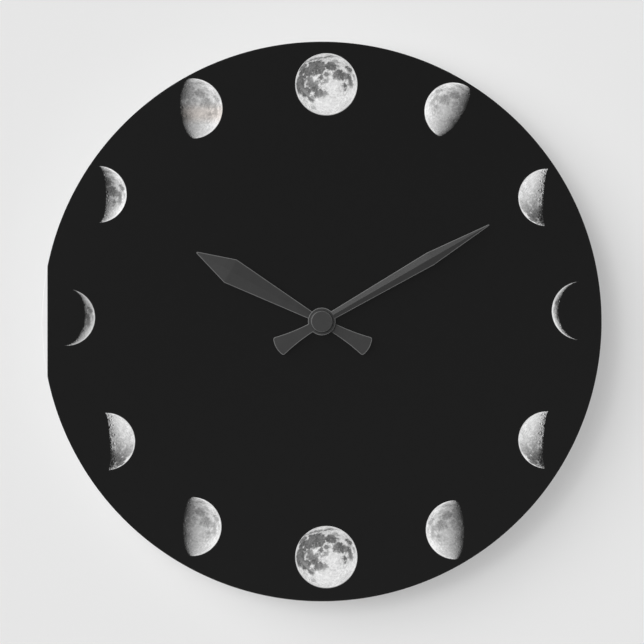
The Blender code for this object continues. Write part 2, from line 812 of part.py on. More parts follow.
def make_rear_cover(finishes):
    """The cover over the train, with the hanger, the rear bearings and four snap clips."""
    half = inner_half - SEAT_GAP
    panel = rectangle(-half, half, plate_bottom, inner_top - SEAT_GAP)
    hanger = prism(hanger_outline(inner_top - 2 * CASE_WALL), 0, HANGER_THICKNESS)
    steps = [
        (ADD, hanger),
        (CUT, prism(hanger_hole_outline(), -OVERSHOOT, HANGER_THICKNESS + OVERSHOOT)),
        (CUT, rod(KNOB_RADIUS + SEAT_GAP, -OVERSHOOT, COVER_THICKNESS + OVERSHOOT, knob_axis, 28)),
    ]
    into_cover = COVER_THICKNESS / 2
    for place in post_places:
        steps.append((ADD, rod(POST_RADIUS, into_cover, plate_back - SEAT_GAP, place)))
    for place in stator_posts:
        steps.append((ADD, rod(POST_RADIUS, into_cover, stator_back - SEAT_GAP, place)))
    for side in (-1, 1):
        for height in clip_heights:
            box = (side, height, -CLIP_LEG)
            barb_back = CLIP_REACH - CLIP_BARB_DEPTH
            leg = clip_box(*box, 0, CLIP_HALF_WIDTH, into_cover, CLIP_REACH)
            barb = clip_box(*box, CLIP_BARB_REACH, CLIP_HALF_WIDTH, barb_back, CLIP_REACH)
            steps += [(ADD, leg), (ADD, barb)]
    boss_front = COVER_THICKNESS + BOSS_HEIGHT
    for axis in ((0.0, 0.0), third_axis, fifth_axis, rotor_axis):
        steps += blind_boss(
            axis, into_cover, boss_front, boss_front - PIVOT_LENGTH, boss_front + OVERSHOOT
        )
    piece("rear_cover", finishes["case"], prism(panel, 0, COVER_THICKNESS), *steps)


def make_middle_plate(finishes):
    half = inner_half - SEAT_GAP
    through = (plate_back - OVERSHOOT, plate_front + OVERSHOOT)
    blind = (plate_back - OVERSHOOT, plate_back + 0.7 * PLATE_THICKNESS)
    steps = [
        (CUT, rod(SECONDS_ARBOR_RADIUS + PIVOT_GAP, *through)),
        (CUT, rod(ARBOR_RADIUS + PIVOT_GAP, *through, third_axis)),
        (CUT, rod(KNOB_SHAFT_RADIUS + SEAT_GAP, *through, knob_axis)),
        (CUT, rod(PIVOT_RADIUS + PIVOT_GAP, *blind, fifth_axis)),
        (CUT, rod(PIVOT_RADIUS + PIVOT_GAP, *blind, rotor_axis)),
    ]
    panel = rectangle(-half, half, plate_bottom, PLATE_TOP)
    piece("middle_plate", finishes["plate"], prism(panel, plate_back, plate_front), *steps)


# Wheels and shafts


def rear_pivot(radius, front):
    """An arbor from the rear bearing to front, with a thinner pivot at its rear end."""
    shoulder = COVER_THICKNESS + BOSS_HEIGHT + PIVOT_GAP
    end = COVER_THICKNESS + BOSS_HEIGHT - PIVOT_LENGTH + PIVOT_GAP
    pivot = [(0, end), (PIVOT_RADIUS, end), (PIVOT_RADIUS, shoulder)]
    return pivot + [(radius, shoulder), (radius, front)]


def make_minute_shaft(finishes):
    bore = SECONDS_ARBOR_RADIUS + SEAT_GAP
    back = plate_front + SEAT_GAP
    profile = [(bore, back), (MINUTE_SHAFT_RADIUS, back)]
    profile += [(MINUTE_SHAFT_RADIUS, shaft_front), (bore, shaft_front)]
    teeth = gear(CANNON_TEETH, MODULE, cannon_back, motion_front)
    hollow = rod(bore, cannon_back - OVERSHOOT, motion_front + OVERSHOOT, steps=16)
    piece("minute_shaft", finishes["brass"], turned(profile, 16), (ADD, teeth), (CUT, hollow))


def make_centre_wheel(finishes):
    bore = MINUTE_SHAFT_RADIUS + SEAT_GAP
    hole = rod(bore, centre_back - OVERSHOOT, centre_front + OVERSHOOT, steps=16)
    wheel = gear(CENTRE_TEETH, MODULE, centre_back, centre_front)
    piece("centre_wheel", finishes["nylon"], wheel, (CUT, hole))


def make_hour_wheel(finishes):
    bore = MINUTE_SHAFT_RADIUS + SEAT_GAP
    collar = case_inner_front - SEAT_GAP
    profile = [(HOUR_COLLAR_RADIUS, hour_back + GEAR_FACE / 2), (HOUR_COLLAR_RADIUS, collar)]
    profile += [(HOUR_TUBE_RADIUS, collar), (HOUR_TUBE_RADIUS, hour_tube_front)]
    profile += [(0, hour_tube_front), (0, hour_back + GEAR_FACE / 2)]
    turn = meshed(0, MINUTE_PINION_TEETH, MINUTE_WHEEL_DIRECTION + math.pi, HOUR_WHEEL_TEETH)
    piece(
        "hour_wheel",
        finishes["brass"],
        gear(HOUR_WHEEL_TEETH, hour_module, hour_back, hour_front, turn),
        (ADD, turned(profile, 20)),
        (CUT, rod(bore, hour_back - OVERSHOOT, hour_tube_front + OVERSHOOT, steps=16)),
    )


def make_minute_wheel(finishes):
    hole = rod(
        MINUTE_STUD_RADIUS + PIVOT_GAP, motion_back - OVERSHOOT, hour_front + OVERSHOOT, steps=12
    )
    wheel = gear(MINUTE_WHEEL_TEETH, MODULE, motion_back, motion_front, minute_wheel_turn)
    pinion = gear(MINUTE_PINION_TEETH, hour_module, motion_back + GEAR_FACE / 2, hour_front)
    piece(
        "minute_wheel", finishes["nylon"], wheel, (ADD, pinion), (CUT, hole), axis=minute_axis
    )


def make_third_wheel(finishes):
    front = centre_front + LAYER_GAP
    pivot_front = front + SEAT_GAP + PIVOT_LENGTH - PIVOT_GAP
    arbor = rear_pivot(ARBOR_RADIUS, front)
    arbor += [(PIVOT_RADIUS, front), (PIVOT_RADIUS, pivot_front), (0, pivot_front)]
    turn = meshed(0, CENTRE_TEETH, THIRD_DIRECTION, THIRD_PINION_TEETH)
    pinion = gear(THIRD_PINION_TEETH, MODULE, centre_back - LAYER_GAP / 4, centre_front, turn)
    wheel = gear(THIRD_TEETH, third_module, fifth_back, fifth_front)
    piece(
        "third_wheel",
        finishes["nylon"],
        wheel,
        (ADD, turned(arbor, 10)),
        (ADD, pinion),
        axis=third_axis,
    )


def make_fourth_wheel(finishes):
    """The seconds wheel, whose arbor runs up inside the minute shaft."""
    arbor = rear_pivot(SECONDS_ARBOR_RADIUS, shaft_front) + [(0, shaft_front)]
    turn = meshed(0, THIRD_TEETH, THIRD_DIRECTION + math.pi, FOURTH_PINION_TEETH)
    pinion = gear(FOURTH_PINION_TEETH, third_module, fourth_back + GEAR_FACE / 2, fifth_front, turn)
    wheel = gear(FOURTH_TEETH, FINE_MODULE, fourth_back, fourth_front)
    piece("fourth_wheel", finishes["steel"], wheel, (ADD, turned(arbor, 10)), (ADD, pinion))


def make_fifth_wheel(finishes):
    front = plate_back - SEAT_GAP
    pivot_front = plate_back + 0.5 * PLATE_THICKNESS
    arbor = rear_pivot(SECONDS_ARBOR_RADIUS, front)
    arbor += [(PIVOT_RADIUS, front), (PIVOT_RADIUS, pivot_front), (0, pivot_front)]
    turn = meshed(0, FOURTH_TEETH, FIFTH_DIRECTION, FIFTH_PINION_TEETH)
    pinion = gear(FIFTH_PINION_TEETH, FINE_MODULE, fourth_back, fifth_back + GEAR_FACE / 2, turn)
    wheel = gear(FIFTH_TEETH, FINE_MODULE, fifth_back, fifth_front)
    piece(
        "fifth_wheel",
        finishes["nylon"],
        wheel,
        (ADD, turned(arbor, 10)),
        (ADD, pinion),
        axis=fifth_axis,
    )


# Motor


def make_rotor(finishes):
    front = plate_back - SEAT_GAP
    pivot_front = plate_back + 0.5 * PLATE_THICKNESS
    arbor = rear_pivot(SECONDS_ARBOR_RADIUS, front)
    arbor += [(PIVOT_RADIUS, front), (PIVOT_RADIUS, pivot_front), (0, pivot_front)]
    turn = meshed(0, FIFTH_TEETH, ROTOR_DIRECTION, ROTOR_TEETH)
    pinion = gear(ROTOR_TEETH, FINE_MODULE, fifth_back, fifth_front, turn)
    piece("rotor_pinion", finishes["nylon"], pinion, (ADD, turned(arbor, 10)), axis=rotor_axis)
    bore = SECONDS_ARBOR_RADIUS + PIVOT_GAP
    magnet = [(bore, magnet_back), (MAGNET_RADIUS, magnet_back)]
    magnet += [(MAGNET_RADIUS, magnet_front), (bore, magnet_front)]
    piece("rotor_magnet", finishes["magnet"], turned(magnet, 20), axis=rotor_axis)


def make_stator(finishes):
    height = rotor_axis[1]
    hole = MAGNET_RADIUS + STATOR_AIR_GAP
    bar = rectangle(
        -STATOR_HALF_WIDTH, STATOR_HALF_WIDTH, height - STATOR_BAR_HALF, height + STATOR_BAR_HALF
    )
    steps = [(ADD, rod(hole + STATOR_RING, stator_back, stator_front, rotor_axis, 28))]
    for side in (-1, 1):
        edges = sorted((side * STATOR_HALF_WIDTH, side * (STATOR_HALF_WIDTH - STATOR_ARM_WIDTH)))
        arm = rectangle(*edges, height, COIL_RISE + 2 * CORE_HALF_HEIGHT)
        steps.append((ADD, prism(arm, stator_back, stator_front)))
    through = (stator_back - OVERSHOOT, stator_front + OVERSHOOT)
    steps.append((CUT, rod(hole, *through, rotor_axis, 28)))
    piece("stator_plate", finishes["steel"], prism(bar, stator_back, stator_front), *steps)


def make_coil(finishes):
    """Core, bobbin and winding, which lie across the top of the stator's arms."""
    core_back = stator_front + SEAT_GAP
    core_front = core_back + STATOR_THICKNESS
    core_bottom, core_top = COIL_RISE - CORE_HALF_HEIGHT, COIL_RISE + CORE_HALF_HEIGHT
    core = rectangle(-STATOR_HALF_WIDTH, STATOR_HALF_WIDTH, core_bottom, core_top)
    piece("coil_core", finishes["steel"], prism(core, core_back, core_front))
    middle = (0, -(core_back + core_front) / 2, COIL_RISE)
    lie_down = Matrix.Rotation(math.radians(90), 4, "Z")
    gap_height = CORE_HALF_HEIGHT + SEAT_GAP
    gap_depth = STATOR_THICKNESS / 2 + SEAT_GAP
    barrel = math.hypot(gap_height, gap_depth) + BOBBIN_WALL
    flange_back = COIL_HALF_LENGTH - BOBBIN_FLANGE
    profile = [
        (0, -COIL_HALF_LENGTH),
        (BOBBIN_FLANGE_RADIUS, -COIL_HALF_LENGTH),
        (BOBBIN_FLANGE_RADIUS, -flange_back),
        (barrel, -flange_back),
        (barrel, flange_back),
        (BOBBIN_FLANGE_RADIUS, flange_back),
        (BOBBIN_FLANGE_RADIUS, COIL_HALF_LENGTH),
        (0, COIL_HALF_LENGTH),
    ]
    reach = COIL_HALF_LENGTH + OVERSHOOT
    window = rectangle(-reach, reach, COIL_RISE - gap_height, COIL_RISE + gap_height)
    slot = prism(window, core_back - SEAT_GAP, core_front + SEAT_GAP)
    bobbin = laid(turned(profile, 24), lie_down, middle)
    piece("coil_bobbin", finishes["plate"], bobbin, (CUT, slot))
    winding_end = flange_back - SEAT_GAP
    winding = [(barrel + SEAT_GAP, -winding_end), (WINDING_RADIUS, -winding_end)]
    winding += [(WINDING_RADIUS, winding_end), (barrel + SEAT_GAP, winding_end)]
    piece("coil_winding", finishes["copper"], laid(turned(winding, 24), lie_down, middle))


# Circuit and battery


def make_circuit(finishes):
    back = plate_front + SEAT_GAP
    front = back + BOARD_THICKNESS
    right = post_x - POST_RADIUS - SEAT_GAP
    board = rectangle(BOARD_LEFT, right, BOARD_BOTTOM, BOARD_TOP)
    piece("circuit_board", finishes["board"], prism(board, back, front))
    half = CRYSTAL_LENGTH / 2
    can = [(0, -half), (CRYSTAL_RADIUS - CRYSTAL_EDGE, -half)]
    can += [(CRYSTAL_RADIUS, CRYSTAL_EDGE - half)]
    can += [(CRYSTAL_RADIUS, half), (0, half)]
    stand_up = Matrix.Rotation(math.radians(90), 4, "X")
    middle = (CRYSTAL_X, -(front + SEAT_GAP + CRYSTAL_RADIUS), CRYSTAL_Z)
    piece("quartz_crystal", finishes["nickel"], laid(turned(can, 16), stand_up, middle))
    foot = front + SEAT_GAP
    dome = [(0, foot), (CHIP_RADIUS, foot), (0.8 * CHIP_RADIUS, foot + 0.7 * CHIP_HEIGHT)]
    dome += [(0.4 * CHIP_RADIUS, foot + CHIP_HEIGHT), (0, foot + CHIP_HEIGHT)]
    piece("driver_chip", finishes["epoxy"], turned(dome, 16, (CHIP_X, CHIP_Z)))


def contact_depths():
    """Where the contacts' strips lie in depth: back and front of the strip."""
    front = case_inner_front - CONTACT_MARGIN
    return front - CONTACT_STRIP_WIDTH, front


def board_face():
    return plate_front + SEAT_GAP + BOARD_THICKNESS + SEAT_GAP


def contact_slots():
    """The notches in the divider that the contacts' strips rise through."""
    back, front = contact_depths()
    outer = inner_half
    right = BATTERY_LENGTH / 2
    left = inner_half - CONTACT_SHEET - 2 * SEAT_GAP
    return (
        (right, outer, board_face() - SEAT_GAP, front + SEAT_GAP),
        (-outer, -left, back - SEAT_GAP, front + SEAT_GAP),
    )


def make_contacts(finishes):
    back, front = contact_depths()
    plate_top = divider_bottom - SEAT_GAP
    bottom = bay_bottom + CONTACT_MARGIN
    inside = BATTERY_LENGTH / 2 + SEAT_GAP
    outside = inside + CONTACT_SHEET
    tongue_bottom = post_places[2][1] + POST_RADIUS + 2 * SEAT_GAP
    tongue_top = tongue_bottom + CONTACT_TONGUE
    board_right = post_x - POST_RADIUS - SEAT_GAP
    riser = rectangle(inside, outside, plate_top - OVERSHOOT, tongue_top)
    tongue = rectangle(board_right - CONTACT_LAP, outside, tongue_bottom, tongue_top)
    piece(
        "positive_contact",
        finishes["nickel"],
        prism(rectangle(inside, outside, bottom, plate_top), CONTACT_MARGIN, front),
        (ADD, prism(riser, board_face(), front)),
        (ADD, prism(tongue, board_face(), board_face() + CONTACT_SHEET)),
    )
    wall = SEAT_GAP - inner_half
    bow = min(wall + LEAF_BOW, -inside - CONTACT_SHEET)
    leaf = [(wall, bottom), (wall, battery_height - LEAF_HALF), (bow, battery_height)]
    leaf += [(wall, battery_height + LEAF_HALF), (wall, plate_top)]
    leaf += [(x + CONTACT_SHEET, z) for x, z in reversed(leaf)]
    strip_bottom = train_floor + SEAT_GAP
    strip_top = strip_bottom + CONTACT_SHEET
    tab = BOARD_LEFT + CONTACT_LAP
    riser = rectangle(wall, wall + CONTACT_SHEET, plate_top - OVERSHOOT, strip_top)
    strip = rectangle(wall, tab, strip_bottom, strip_top)
    foot = rectangle(tab - CONTACT_SHEET, tab, strip_bottom, BOARD_BOTTOM + CONTACT_LAP)
    piece(
        "negative_contact",
        finishes["nickel"],
        prism(leaf, CONTACT_MARGIN, front),
        (ADD, prism(riser, back, front)),
        (ADD, prism(strip, back, front)),
        (ADD, prism(foot, board_face(), front)),
    )


def make_battery(finishes):
    radius = BATTERY_DIAMETER / 2
    back_end = -BATTERY_LENGTH / 2
    shoulder = BATTERY_LENGTH / 2 - BATTERY_BUTTON_LENGTH
    profile = [
        (0, back_end),
        (radius - BATTERY_SHOULDER, back_end),
        (radius, back_end + BATTERY_SHOULDER),
        (radius, shoulder - BATTERY_SHOULDER),
        (radius - BATTERY_SHOULDER, shoulder),
        (BATTERY_BUTTON_RADIUS, shoulder),
        (BATTERY_BUTTON_RADIUS, BATTERY_LENGTH / 2),
        (0, BATTERY_LENGTH / 2),
    ]
    lie_down = Matrix.Rotation(math.radians(90), 4, "Z")
    middle = (0, -battery_depth, battery_height)
    piece("aa_battery", finishes["battery"], laid(turned(profile, 28), lie_down, middle))


def make_setting_knob(finishes):
    """The knob at the back that turns the hands through the motion work."""
    back = KNOB_INSET
    front = back + KNOB_THICKNESS
    flange_back = COVER_THICKNESS + SEAT_GAP
    flange_front = max(flange_back + KNOB_FLANGE_THICKNESS, front)
    teeth_turn = meshed(minute_wheel_turn, MINUTE_WHEEL_TEETH, KNOB_DIRECTION, KNOB_TEETH)
    rim = [
        polar(math.pi * k / KNOB_GROOVES, KNOB_RADIUS - KNOB_GROOVE_DEPTH * (k % 2))
        for k in range(2 * KNOB_GROOVES)
    ]
    shaft_end = hour_front
    flange = rod(KNOB_FLANGE_RADIUS, flange_back, flange_front, steps=28)
    piece(
        "setting_knob",
        finishes["knob"],
        prism(rim, back, front),
        (ADD, flange),
        (ADD, rod(KNOB_SHAFT_RADIUS, flange_back, shaft_end, steps=14)),
        (ADD, gear(KNOB_TEETH, MODULE, motion_back, motion_front, teeth_turn)),
        axis=knob_axis,
    )


def clear_scene():
    for old in list(bpy.data.objects):
        bpy.data.objects.remove(old)


def main():
    clear_scene()
    finishes = make_finishes()
    make_disc(finishes)
    make_face_print(finishes)
    make_moons(finishes)
    make_hands(finishes)
    make_cap_nut(finishes)
    make_bush(finishes)
    make_gasket(finishes)
    make_washer(finishes)
    make_nut(finishes)
    make_case(finishes)
    make_rear_cover(finishes)
    make_middle_plate(finishes)
    make_minute_shaft(finishes)
    make_centre_wheel(finishes)
    make_hour_wheel(finishes)
    make_minute_wheel(finishes)
    make_third_wheel(finishes)
    make_fourth_wheel(finishes)
    make_fifth_wheel(finishes)
    make_rotor(finishes)
    make_stator(finishes)
    make_coil(finishes)
    make_circuit(finishes)
    make_contacts(finishes)
    make_battery(finishes)
    make_setting_knob(finishes)


main()
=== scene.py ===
"""Looks of the moon phase wall clock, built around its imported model.

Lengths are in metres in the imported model's frame: +X is right and +Z is up as seen from the
front, and the viewer is at -Y. Depth is counted from the wall towards the viewer, so depth d
lies at y = -d. A direction is an angle clockwise from 12 o'clock. Colours are linear.
"""

import json
import math

import bmesh
import bpy
from mathutils import Matrix, Vector


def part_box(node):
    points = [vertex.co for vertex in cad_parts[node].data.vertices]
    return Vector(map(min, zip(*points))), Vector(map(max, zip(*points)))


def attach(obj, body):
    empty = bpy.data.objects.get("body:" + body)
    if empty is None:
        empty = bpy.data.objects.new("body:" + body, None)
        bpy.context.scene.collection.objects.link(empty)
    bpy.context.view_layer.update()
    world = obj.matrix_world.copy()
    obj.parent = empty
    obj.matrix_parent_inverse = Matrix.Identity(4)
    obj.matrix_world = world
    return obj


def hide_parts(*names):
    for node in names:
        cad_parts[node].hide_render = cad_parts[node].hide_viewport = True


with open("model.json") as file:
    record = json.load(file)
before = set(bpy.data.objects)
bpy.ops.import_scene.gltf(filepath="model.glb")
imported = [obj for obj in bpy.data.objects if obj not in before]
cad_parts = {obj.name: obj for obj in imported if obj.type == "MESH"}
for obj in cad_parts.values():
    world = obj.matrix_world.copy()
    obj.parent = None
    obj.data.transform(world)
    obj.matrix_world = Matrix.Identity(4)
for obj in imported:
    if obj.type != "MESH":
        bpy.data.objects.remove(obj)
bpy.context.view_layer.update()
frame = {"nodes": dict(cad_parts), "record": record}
nodes = frame["nodes"]

body_of = {
    node: body for body, held in frame["record"]["behaviour"]["bodies"].items() for node in held
}

scene = bpy.context.scene
scene.view_settings.view_transform = "Standard"

DISC_RADIUS = 0.136525
# Bore of the disc, of the washer and of the nut
HOLE_RADIUS = 0.00415


# Shapes

# Sides of a turned piece, unless it says otherwise
SIDES = 128


def polar(direction, distance, start=(0.0, 0.0)):
    """The point (x, z) this far from start in this direction."""
    return start[0] + distance * math.sin(direction), start[1] + distance * math.cos(direction)


def circle(radius, count=SIDES):
    """The points (x, z) of a circle round the origin."""
    return [polar(math.tau * k / count, radius) for k in range(count)]


def depths(node):
    """Back and front depth of a CAD node."""
    low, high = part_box(node)
    return -high.y, -low.y


def curve(start, corner, end, steps):
    """Points of the curve that leaves start towards the corner and comes from it to the end."""
    shares = [k / steps for k in range(steps + 1)]
    return [(1 - t) ** 2 * start + 2 * t * (1 - t) * corner + t * t * end for t in shares]


def ring(bore, radius, back, front):
    """The (radius, depth) outline of a flat ring."""
    return [(bore, back), (radius, back), (radius, front), (bore, front)]


def eased(points, size):
    """The closed outline with its corners rounded over this length."""
    made = []
    for k, corner in enumerate(points):
        corner = Vector(corner)
        ends = []
        for other in (points[k - 1], points[(k + 1) % len(points)]):
            away = Vector(other) - corner
            ends.append(corner + away.normalized() * min(size, 0.45 * away.length))
        made += curve(ends[0], corner, ends[1], 3)
    return made


def band(one, two):
    """The faces between two rings of as many vertices."""
    count = len(one)
    return [(one[k], one[(k + 1) % count], two[(k + 1) % count], two[k]) for k in range(count)]


def lathe(profile, steps=SIDES):
    """A closed shape turned about +Y from an outline of (radius, depth) points."""
    verts, rings, faces = [], [], []
    for radius, depth in profile:
        if radius < 1e-9:
            rings.append([len(verts)] * steps)
            verts.append((0.0, -depth, 0.0))
            continue
        rings.append(list(range(len(verts), len(verts) + steps)))
        verts += [(x, -depth, z) for x, z in circle(radius, steps)]
    for one, two in zip(rings, rings[1:] + rings[:1]):
        faces += [tuple(dict.fromkeys(corners)) for corners in band(one, two)]
    return verts, [corners for corners in faces if len(corners) > 2]


def slab(outline, back, front):
    """A flat plate with this outline (x, z)."""
    count = len(outline)
    verts = [(x, -back, z) for x, z in outline] + [(x, -front, z) for x, z in outline]
    faces = [tuple(range(count)), tuple(range(2 * count - 1, count - 1, -1))]
    for k in range(count):
        after = (k + 1) % count
        faces.append((k, k + count, after + count, after))
    return verts, faces


def pierced(rim, hole, back, front):
    """A flat plate with this outline (x, z) and a round hole."""
    outer, inner = len(rim), len(hole)
    count = outer + inner
    verts = [(x, -depth, z) for depth in (back, front) for x, z in rim + hole]
    # The place in the hole's edge that lies nearest to each place in the rim
    shares = [math.atan2(x, z) % math.tau / math.tau for x, z in rim]
    near = [outer + round(share * inner) % inner for share in shares]
    faces = []
    for layer in (0, count):
        for k in range(outer):
            after = (k + 1) % outer
            corners = dict.fromkeys((k, after, near[after], near[k]))
            faces.append(tuple(corner + layer for corner in corners))
    for k in range(outer):
        after = (k + 1) % outer
        faces.append((k, k + count, after + count, after))
    return verts, faces + band(range(outer, count), range(outer + count, 2 * count))


def merged(*shapes):
    """Several shapes as the parts of one."""
    verts, faces = [], []
    for more_verts, more_faces in shapes:
        start = len(verts)
        verts += more_verts
        faces += [tuple(k + start for k in face) for face in more_faces]
    return verts, faces


def closed_mesh(name, shape, centre=(0.0, 0.0, 0.0)):
    """A shape as a mesh with its faces turned outwards."""
    verts, faces = shape
    work = bmesh.new()
    made = [work.verts.new(Vector(v) - Vector(centre)) for v in verts]
    for face in faces:
        work.faces.new([made[k] for k in face])
    bmesh.ops.remove_doubles(work, verts=work.verts, dist=1e-7)
    bmesh.ops.dissolve_degenerate(work, edges=work.edges, dist=1e-8)
    bmesh.ops.recalc_face_normals(work, faces=work.faces)
    mesh = bpy.data.meshes.new(name)
    work.to_mesh(mesh)
    work.free()
    return mesh


def piece(name, shape, material, node, centre=(0.0, 0.0, 0.0), turn=None):
    """A piece of this shape that stands for a CAD node."""
    mesh = closed_mesh(name, shape, centre)
    if turn is not None:
        mesh.transform(turn)
    dress(name, mesh, [material], node, centre=centre)


def dress(name, mesh, materials, node, smooth=30.0, centre=(0.0, 0.0, 0.0)):
    """Lets a finished mesh stand for a CAD node, on its body. Edges of more than this many
    degrees stay sharp."""
    for material in materials:
        mesh.materials.append(material)
    mesh.polygons.foreach_set("use_smooth", [True] * len(mesh.polygons))
    mesh.set_sharp_from_angle(angle=math.radians(smooth))
    made = bpy.data.objects.new(name, mesh)
    made.location = centre
    scene.collection.objects.link(made)
    # Each corner takes its normal from the larger faces round it, so that flat faces look flat
    made.modifiers.new("weighted", "WEIGHTED_NORMAL").keep_sharp = True
    made.data = worked(made)
    made.modifiers.clear()
    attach(made, body_of[node])
    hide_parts(node)


def worked(thing):
    """The mesh that an object's modifiers make."""
    graph = bpy.context.evaluated_depsgraph_get()
    seen = thing.evaluated_get(graph)
    return bpy.data.meshes.new_from_object(seen, preserve_all_data_layers=True, depsgraph=graph)


def cut_from(mesh, shape):
    """The mesh with this closed shape taken away."""
    tool = closed_mesh("cut", shape)
    both = [bpy.data.objects.new(held.name, held) for held in (mesh, tool)]
    for held in both:
        scene.collection.objects.link(held)
    away = both[0].modifiers.new("cut", "BOOLEAN")
    away.operation, away.object, away.solver = "DIFFERENCE", both[1], "EXACT"
    left = worked(both[0])
    for held in both:
        bpy.data.objects.remove(held)
    return left


def refined(name, node, width, material, cut=None):
    """A copy of a CAD node with its edges rounded off, and perhaps a shape cut from it."""
    flat, sharp = math.radians(0.6), math.radians(40)
    work = bmesh.new()
    work.from_mesh(nodes[node].data)
    bmesh.ops.remove_doubles(work, verts=work.verts, dist=2e-6)
    bmesh.ops.dissolve_limit(work, angle_limit=flat, verts=work.verts, edges=work.edges)
    edges = [e for e in work.edges if len(e.link_faces) == 2 and e.calc_face_angle(0.0) > sharp]
    how = {"offset_type": "OFFSET", "segments": 2, "profile": 0.5, "affect": "EDGES"}
    bmesh.ops.bevel(work, geom=edges, offset=width, clamp_overlap=True, **how)
    bmesh.ops.recalc_face_normals(work, faces=work.faces)
    verts = [v.co.copy() for v in work.verts]
    work.verts.index_update()
    faces = [[v.index for v in f.verts] for f in work.faces]
    work.free()
    # A fresh mesh keeps nothing of the CAD mesh's own shading
    mesh = bpy.data.meshes.new(name)
    mesh.from_pydata(verts, [], faces)
    if cut is not None:
        mesh = cut_from(mesh, cut)
    dress(name, mesh, [material], node)


# Materials


def feed(tree, value, socket):
    """Sets a socket to a plain value, or links it to a Num or to another socket."""
    if isinstance(value, Num):
        value = value.socket
    if isinstance(value, bpy.types.NodeSocket):
        tree.links.new(value, socket)
    else:
        socket.default_value = value


class Num:
    """A number in a node tree, so that a formula can be written as one."""

    def __init__(self, tree, socket):
        self.tree, self.socket = tree, socket

    def math(self, operation, *others, clamp=False):
        node = self.tree.nodes.new("ShaderNodeMath")
        node.operation, node.use_clamp = operation, clamp
        for socket, value in zip(node.inputs, (self, *others)):
            feed(self.tree, value, socket)
        return Num(self.tree, node.outputs[0])

    def __add__(self, other):
        return self.math("ADD", other)

    def __sub__(self, other):
        return self.math("SUBTRACT", other)

    def __mul__(self, other):
        return self.math("MULTIPLY", other)

    def __truediv__(self, other):
        return self.math("DIVIDE", other)

    def __pow__(self, other):
        return self.math("POWER", other)

    def between(self, low, high, to_low=0.0, to_high=1.0, smooth=True):
        """This number carried from one range to another, with soft ends."""
        node = self.tree.nodes.new("ShaderNodeMapRange")
        if smooth:
            node.interpolation_type = "SMOOTHSTEP"
        names = ("Value", "From Min", "From Max", "To Min", "To Max")
        for name, value in zip(names, (self, low, high, to_low, to_high)):
            feed(self.tree, value, node.inputs[name])
        return Num(self.tree, node.outputs["Result"])


def vector_math(tree, operation, *values, scale=None):
    node = tree.nodes.new("ShaderNodeVectorMath")
    node.operation = operation
    for socket, value in zip(node.inputs, values):
        feed(tree, value, socket)
    if scale is not None:
        node.inputs["Scale"].default_value = scale
    return node.outputs["Value" if operation in ("LENGTH", "DOT_PRODUCT") else "Vector"]


def combined(tree, x, y, z):
    node = tree.nodes.new("ShaderNodeCombineXYZ")
    for socket, value in zip(node.inputs, (x, y, z)):
        feed(tree, value, socket)
    return node.outputs["Vector"]


def separated(tree, vector):
    node = tree.nodes.new("ShaderNodeSeparateXYZ")
    feed(tree, vector, node.inputs[0])
    return [Num(tree, socket) for socket in node.outputs]


def noise(tree, vector, scale, detail=3.0, roughness=0.5, output="Fac"):
    node = tree.nodes.new("ShaderNodeTexNoise")
    feed(tree, vector, node.inputs["Vector"])
    node.inputs["Scale"].default_value = scale
    node.inputs["Detail"].default_value = detail
    node.inputs["Roughness"].default_value = roughness
    socket = node.outputs["Color" if output == "Color" else "Fac"]
    return socket if output == "Color" else Num(tree, socket)


def mixed(tree, share, first, second):
    """A colour between two, each a socket or an (r, g, b)."""
    node = tree.nodes.new("ShaderNodeMix")
    node.data_type = "RGBA"
    feed(tree, share, node.inputs["Factor"])
    for name, value in (("A", first), ("B", second)):
        feed(tree, (*value, 1) if isinstance(value, tuple) else value, node.inputs[name])
    return node.outputs["Result"]


def any_ray(tree, first, *others):
    """1 for a ray of any of these kinds."""
    path = tree.nodes.new("ShaderNodeLightPath").outputs
    seen = Num(tree, path[first])
    for kind in others:
        seen = seen.math("MAXIMUM", Num(tree, path[kind]))
    return seen


def blank(name, **values):
    """A new material, its tree and its shader, with these values on the shader's own sockets."""
    made = bpy.data.materials.new(name)
    made.use_nodes = True
    shader = made.node_tree.nodes["Principled BSDF"]
    for key, value in values.items():
        shader.inputs[key.replace("_", " ")].default_value = value
    return made, made.node_tree, shader


def object_place(tree):
    return tree.nodes.new("ShaderNodeTexCoord").outputs["Object"]


def raise_surface(tree, shader, height, distance):
    node = tree.nodes.new("ShaderNodeBump")
    node.inputs["Distance"].default_value = distance
    feed(tree, height, node.inputs["Height"])
    feed(tree, node.outputs["Normal"], shader.inputs["Normal"])


def even(value):
    return (value, value, value)


